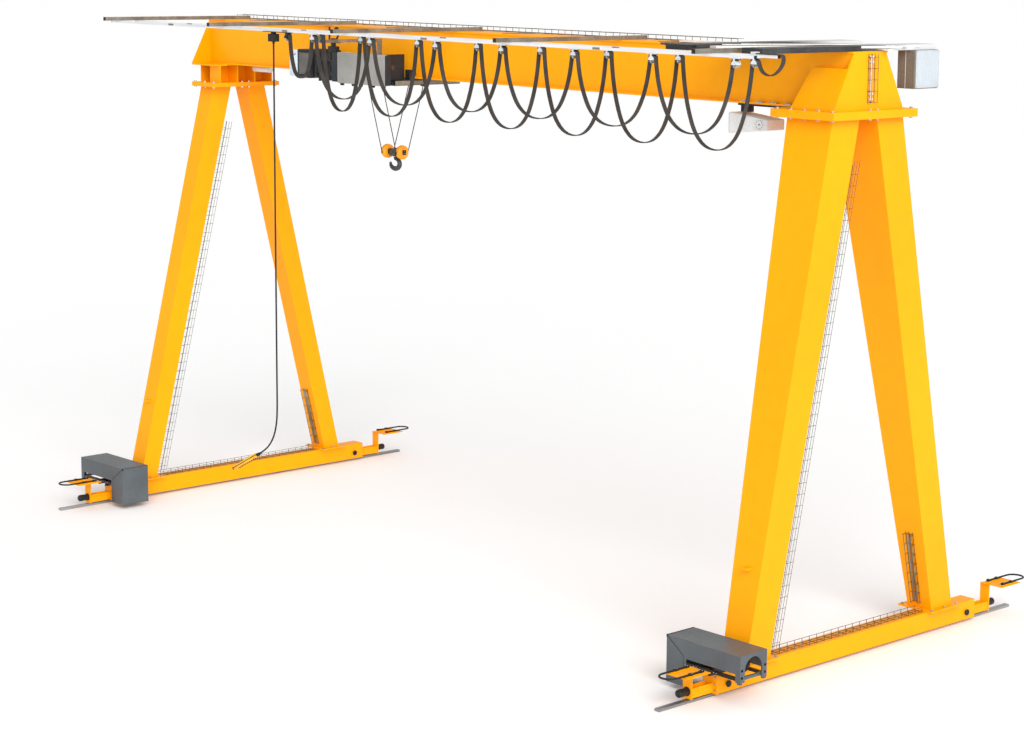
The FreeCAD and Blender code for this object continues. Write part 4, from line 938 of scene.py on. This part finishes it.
for k, x in enumerate(supply_saddles[-2:0:-1], 1):
    carriage_trim("supply_carriage_%d" % k, x, SUPPLY_Y, "carrier_%d" % k)
carriage_trim("supply_carriage_end", supply_saddles[-1], SUPPLY_Y, "gantry")
for k, x in enumerate(pendant_saddles):
    carriage_trim("pendant_carriage_%d" % k, x, PENDANT_Y, "gantry")
print("carriages trimmed")

# %% [markdown]
# A plate with two studs holds each C-rail under each arm, a sleeve joins its lengths, and a black
# stop closes its ends. All are small bevelled blocks and rods, joined by what they are made of.

# %% Rail hangers, joints and end stops
ARMS_X = (-5.79, -3.27, -0.60, 2.46, 5.63)
hangers, stops = [], []
for y in (PENDANT_Y, SUPPLY_Y):
    for x in ARMS_X:
        hangers.append(block("hanger", (x - 0.034, x + 0.034), (y - 0.024, y + 0.024),
                             (6.8945, 6.9015), 0.002, 1))
        for dx in (-0.030, 0.030):
            hangers.append(rod("stud", (x + dx, y, 6.905), "z", 0.005, 0.030, 12, 0.0015))
    for x in (-4.5, -1.9, 0.9, 3.9):
        hangers.append(block("joint", (x - 0.060, x + 0.060), (y - 0.0185, y + 0.0185),
                             (6.866, 6.893), 0.002, 1))
for x0, x1, y in ((-5.983, 6.283, PENDANT_Y), (-5.843, 6.343, SUPPLY_Y)):
    for x in (x0, x1):
        stops.append(block("end_stop", (x - 0.006, x + 0.006), (y - 0.019, y + 0.019),
                           (6.862, 6.8965), 0.003, 2))
hand_over(join("rail_hangers", hangers), "gantry", "galvanised")
hand_over(join("rail_end_stops", stops), "gantry", "trim_black")
print("hangers", len(hangers))

# %% [markdown]
# ## Box of the pendant line
# The junction box has rounded corners and a cable gland underneath, where the cord enters.

# %% Junction box and gland
junction = block("junction_box", (-2.229, -2.101), (-2.097, -2.003), (6.738, 6.834), 0.010, 3)
face_edit(junction, (0, -1, 0), [(0.010, 0), (0.003, -0.003)], 0.99)
gland = turned("gland", [(0.0, 0.0), (0.0, 0.020), (-0.014, 0.020), (-0.016, 0.016),
                         (-0.034, 0.0145), (-0.036, 0.0115), (-0.036, 0.0)],
               (-2.165, -2.05, 6.740), "z", 24)
hand_over(join("pendant_junction", [junction, gland]), "gantry", "trim_black")
print("junction box made")

# %% [markdown]
# ## Cabinet
# The control cabinet hangs behind the girder's end. Its door is a pale sheet with screws round the
# edge. The carcass has the same grey paint, but it is given a darker, warmer finish as painted
# shade, so the door is a separate piece a little smaller than the box.

# %% Cabinet door and carcass trim
door = block("cabinet_door", (6.0985, 6.1065), (0.812, 1.222), (6.466, 6.889), 0.004, 2)
face_edit(door, (1, 0, 0), [(0.010, 0), (0.004, 0.0015)], 0.99)
door_screws = [rod("screw", (6.109, y, z), "x", 0.006, 0.004, 16, 0.001)
               for y in (0.826, 1.208) for z in (6.482, 6.610, 6.745, 6.873)]
shaded_carcass = block("cabinet_side", (5.846, 6.099), (0.796, 1.218), (6.456, 6.893), 0.006, 2)
face_edit(shaded_carcass, (0, -1, 0), [(0.020, -0.003)], 0.99)
seal = block("cabinet_seam", (5.960, 5.966), (0.793, 0.797), (6.466, 6.888), 0.001, 1)
hand_over(door, "gantry", "cabinet_grey")
# The darker cabinet_side finish on the carcass is painted shade; its own paint is the door's grey.
hand_over(shaded_carcass, "gantry", "cabinet_grey", "cabinet_side", ["control_cabinet"])
hand_over(seal, "gantry", "cabinet_grey", "lamp_white")
hand_over(join("cabinet_screws", door_screws), "gantry", "bolt_zinc")
print("cabinet dressed")

# %% [markdown]
# ## Cable trays across the girder top
# Flat trays carry the cables over the girder to the cabinet. They are thin folded channels that
# overlap at slight angles, some pale and some dark; the black cables lying in them are not
# modelled.

# %% Overlapping flat trays
def tray(name, start, end, width, height, z):
    """A shallow channel between two plan points: a plate with its middle pushed down."""
    a, b = Vector((*start, z)), Vector((*end, z))
    piece = block(name, (-(b - a).length / 2, (b - a).length / 2), (-width / 2, width / 2),
                  (0, height), 0.0)
    face_edit(piece, (0, 0, 1), [(0.004, 0), (0, -height * 0.7)], 0.99)
    piece.rotation_euler = (0, 0, math.atan2((b - a).y, (b - a).x))
    piece.location = (a + b) / 2
    return settle(piece, name)


pale_trays = [tray("pale", (4.62, -1.62), (6.02, 0.92), 0.150, 0.024, 6.9285),
              tray("pale", (5.30, -1.66), (6.18, 0.40), 0.170, 0.024, 6.9290),
              tray("pale", (3.30, -0.10), (5.60, 0.34), 0.120, 0.020, 6.9000),
              tray("pale", (5.10, 0.10), (6.20, 0.26), 0.160, 0.020, 6.9040)]
dark_trays = [tray("dark", (4.36, -1.50), (5.74, 0.98), 0.110, 0.022, 6.9300),
              tray("dark", (4.02, -1.10), (5.30, 0.90), 0.080, 0.020, 6.9010),
              tray("dark", (5.02, -1.66), (6.08, 0.66), 0.090, 0.022, 6.9310)]
hand_over(join("pale_trays", pale_trays), "gantry", "duct_dark", "duct_pale", soften=0)
hand_over(join("dark_trays", dark_trays), "gantry", "duct_dark", soften=0)
brackets = [block("bracket", (x, x + 0.140), (-0.30, 0.16), (6.8955, 6.9035), 0.002, 1)
            for x in (-5.20, -4.30, -2.05, 0.30, 1.60, 3.10)]
hand_over(join("tray_feet", brackets), "gantry", "galvanised")
print("trays", len(pale_trays) + len(dark_trays))

# %% [markdown]
# ## Floodlight
# A wedge-shaped lamp hangs under the girder near the rigid legs. A round plate with a ring of
# holes is its tilt joint, and pale clamps hold its bracket on the girder's flange.

# %% Lamp body and tilt plate
shell = block("lamp_shell", (4.382, 4.978), (-0.418, -0.122), (5.904, 6.148))
for corner in shell.data.vertices:
    if corner.co.x > 4.9:
        corner.co.z += -0.062 if corner.co.z > 6.0 else 0.062
round_edges(shell, 0.010)
face_edit(shell, (0, -1, 0), [(0.012, 0), (0.003, 0.002)], 0.95)
disc = turned("tilt_disc", [(0.0, 0.0), (0.0, 0.066), (-0.004, 0.068), (-0.007, 0.066),
                            (-0.007, 0.0)], (4.865, -0.420, 6.030), "y", 40)
# The ring of holes and the middle hole are not cut: black discs just proud of the plate are painted
# shade for the dark insides of the holes.
hole_shades = [rod("dot", (4.865 + 0.050 * math.cos(a), -0.428, 6.030 + 0.050 * math.sin(a)), "y",
            0.0055, 0.003, 12, 0.0008) for a in (k * math.tau / 10 for k in range(10))]
hole_shades.append(rod("dot", (4.865, -0.428, 6.030), "y", 0.010, 0.004, 16, 0.001))
back_face = block("lamp_back", (4.376, 4.392), (-0.412, -0.128), (5.912, 6.140), 0.004, 2)
hand_over(shell, "gantry", "lamp_white", stands_for=["floodlights"])
hand_over(disc, "gantry", "lamp_white")
hand_over(join("tilt_hole_shades", hole_shades), "gantry", "lamp_white", "trim_black")
hand_over(back_face, "gantry", "lamp_white", "lamp_grey")
tube_lamp = rod("tube_lamp", (-5.080, -0.150, 6.205), "x", 0.044, 0.400, 32, 0.006)
face_edit(tube_lamp, (1, 0, 0), [(0.006, 0.012), (0.010, -0.006)], 0.99)
hand_over(tube_lamp, "gantry", "lamp_white", "rail_aluminium")
flange_clamps = []
for x in (4.50, 4.72, 4.94, 5.16):
    flange_clamps.append(block("clamp", (x, x + 0.110), (-0.356, -0.300), (6.270, 6.284), 0.004, 2))
    flange_clamps.append(rod("nut", (x + 0.030, -0.330, 6.290), "z", 0.010, 0.014, 6, 0.001))
hand_over(join("flange_clamps", flange_clamps), "gantry", "lamp_white", "bolt_zinc")
print("floodlight made")

# %% [markdown]
# ## Conduit and cables
# A pale conduit with pipe clamps runs up the girder's end plate inside its mesh tray, and thin
# black cables lie in the trays on the legs and sills.

# %% Conduit on the end plate
conduit = [rod("conduit", (6.128, 0.005, 6.600), "z", 0.011, 0.500, 24, 0.002)]
for z in (6.370, 6.430, 6.780, 6.840):
    conduit.append(block("saddle", (6.111, 6.142), (-0.022, 0.032), (z - 0.010, z + 0.010), 0.004))
    conduit.append(rod("screw", (6.146, -0.016, z), "x", 0.0045, 0.006, 12, 0.001))
hand_over(join("conduit", conduit), "gantry", "lamp_white", "duct_pale")
print("conduit made")

# %% [markdown]
# Cables and conduits follow the slope of the legs, so each is a bar between two points on a leg's
# inner face. Wire ladders of three wires and many rungs stand beside the near legs.

# %% Cables in the leg trays and wire ladders
FOOT_Z, CABLE_Z = 0.286, 0.35
RIGHT_LEG = (1.415, 0.148, 6.160)    # inner face: y at the foot, y at the top, z of the top
LEFT_LEG = (1.511, 0.140, 5.924)


def lean(leg, z):
    """Distance of a leg's inner face from the crane's middle plane at a height."""
    y_foot, y_top, z_top = leg
    return y_foot + (y_top - y_foot) * (z - FOOT_Z) / (z_top - FOOT_Z)


cables = []
for x, leg, z_end in ((6.010, RIGHT_LEG, 5.60), (6.034, RIGHT_LEG, 5.60), (-5.980, LEFT_LEG, 5.35)):
    cables.append(bar("cable", (x, 0.020 - lean(leg, CABLE_Z), CABLE_Z),
                      (x, 0.020 - lean(leg, z_end), z_end), 0.006, 10, 0.0018))
hand_over(join("tray_cables", cables), "gantry", "trim_black")
WIRE_R, RUNG_PITCH = 0.0028, 0.125
ladders = []
for x, leg, z_end in ((6.092, RIGHT_LEG, 5.70), (-5.906, LEFT_LEG, 5.40)):
    for depth in (0.060, 0.104, 0.148):
        ladders.append(bar("wire", (x, depth - lean(leg, 0.36), 0.36),
                           (x, depth - lean(leg, z_end), z_end), WIRE_R, 10, WIRE_R * 0.3))
    for k in range(int((z_end - 0.40) / RUNG_PITCH)):
        z = 0.42 + RUNG_PITCH * k
        ladders.append(rod("rung", (x, 0.075 - lean(leg, z), z), "y", WIRE_R, 0.148, 8, 0.0008, 1))
hand_over(join("leg_ladders", ladders), "gantry", "tray_zinc")
grey_cables = []
for x, leg in ((5.905, RIGHT_LEG), (-6.060, LEFT_LEG)):
    for dx in (-0.020, 0.022):
        grey_cables.append(bar("conduit", (x + dx, lean(leg, CABLE_Z) - 0.020, CABLE_Z),
                               (x + dx, lean(leg, 1.20) - 0.020, 1.20), 0.009, 10, 0.0027))
hand_over(join("far_leg_conduits", grey_cables), "gantry", "tray_zinc", "galvanised")
print("cables", len(cables) + len(grey_cables))

# %% [markdown]
# ## Weld beads
# Where a plate meets another at a right angle there is a small rounded weld. Thin many-sided bars
# sunk half into the corner catch the light in the same way.

# %% Welds along the girder and the heads
welds = []
for y in (-0.279, 0.279):
    for z in (6.271, 6.874):
        welds.append(rod("weld", (-0.055, y, z), "x", 0.005, 12.20, 8, 0.001, 1))
for x in (5.306, 6.214):
    welds.append(rod("weld", (x, 0.0, 6.2505), "y", 0.003, 1.38, 8, 0.0008, 1))
hand_over(join("girder_welds", welds), "gantry", "crane_paint")
print("welds made")

# %% [markdown]
# ## Studio
# A pale floor, a bright even sky and two soft lamps: one large key from the front right and one
# from the upper right that brightens the girder end and the tops of the legs.

# %% Floor and lights
clear_selection()
FLOOR_SIZE = 3000
bpy.ops.mesh.primitive_grid_add(x_subdivisions=8, y_subdivisions=8, size=FLOOR_SIZE,
                                location=(0, 900, -0.001))
floor = settle(bpy.context.object, "studio_floor")
finish_of("floor_paper", tone(249, 249, 249), tone(250, 250, 250), (0.2, 2.0), (0.85, 0.95),
          bump=0.0)
floor.data.materials.append(finishes["floor_paper"])

sky = bpy.context.scene.world or bpy.data.worlds.new("sky")
bpy.context.scene.world = sky
sky.use_nodes = True
sky.node_tree.nodes["Background"].inputs["Color"].default_value = (1.0, 1.0, 1.0, 1.0)
sky.node_tree.nodes["Background"].inputs["Strength"].default_value = 0.72
bpy.context.scene.view_settings.view_transform = "Standard"


def lamp(name, kind, strength, place, target, size):
    data = bpy.data.lights.new(name, kind)
    data.energy = strength
    if kind == "SUN":
        data.angle = math.radians(size)
    else:
        data.size = size
    light = bpy.data.objects.new(name, data)
    bpy.context.scene.collection.objects.link(light)
    light.location = place
    aim = Vector(target) - Vector(place)
    light.rotation_euler = aim.to_track_quat("-Z", "Y").to_euler()
    return light


lamp("front_right_key", "SUN", 2.6, (13, -8, 9), (0, 0, 2), 50)
lamp("right_top_fill", "AREA", 400, (16, -5, 11), (6, 0, 5), 6)
print("lights set")
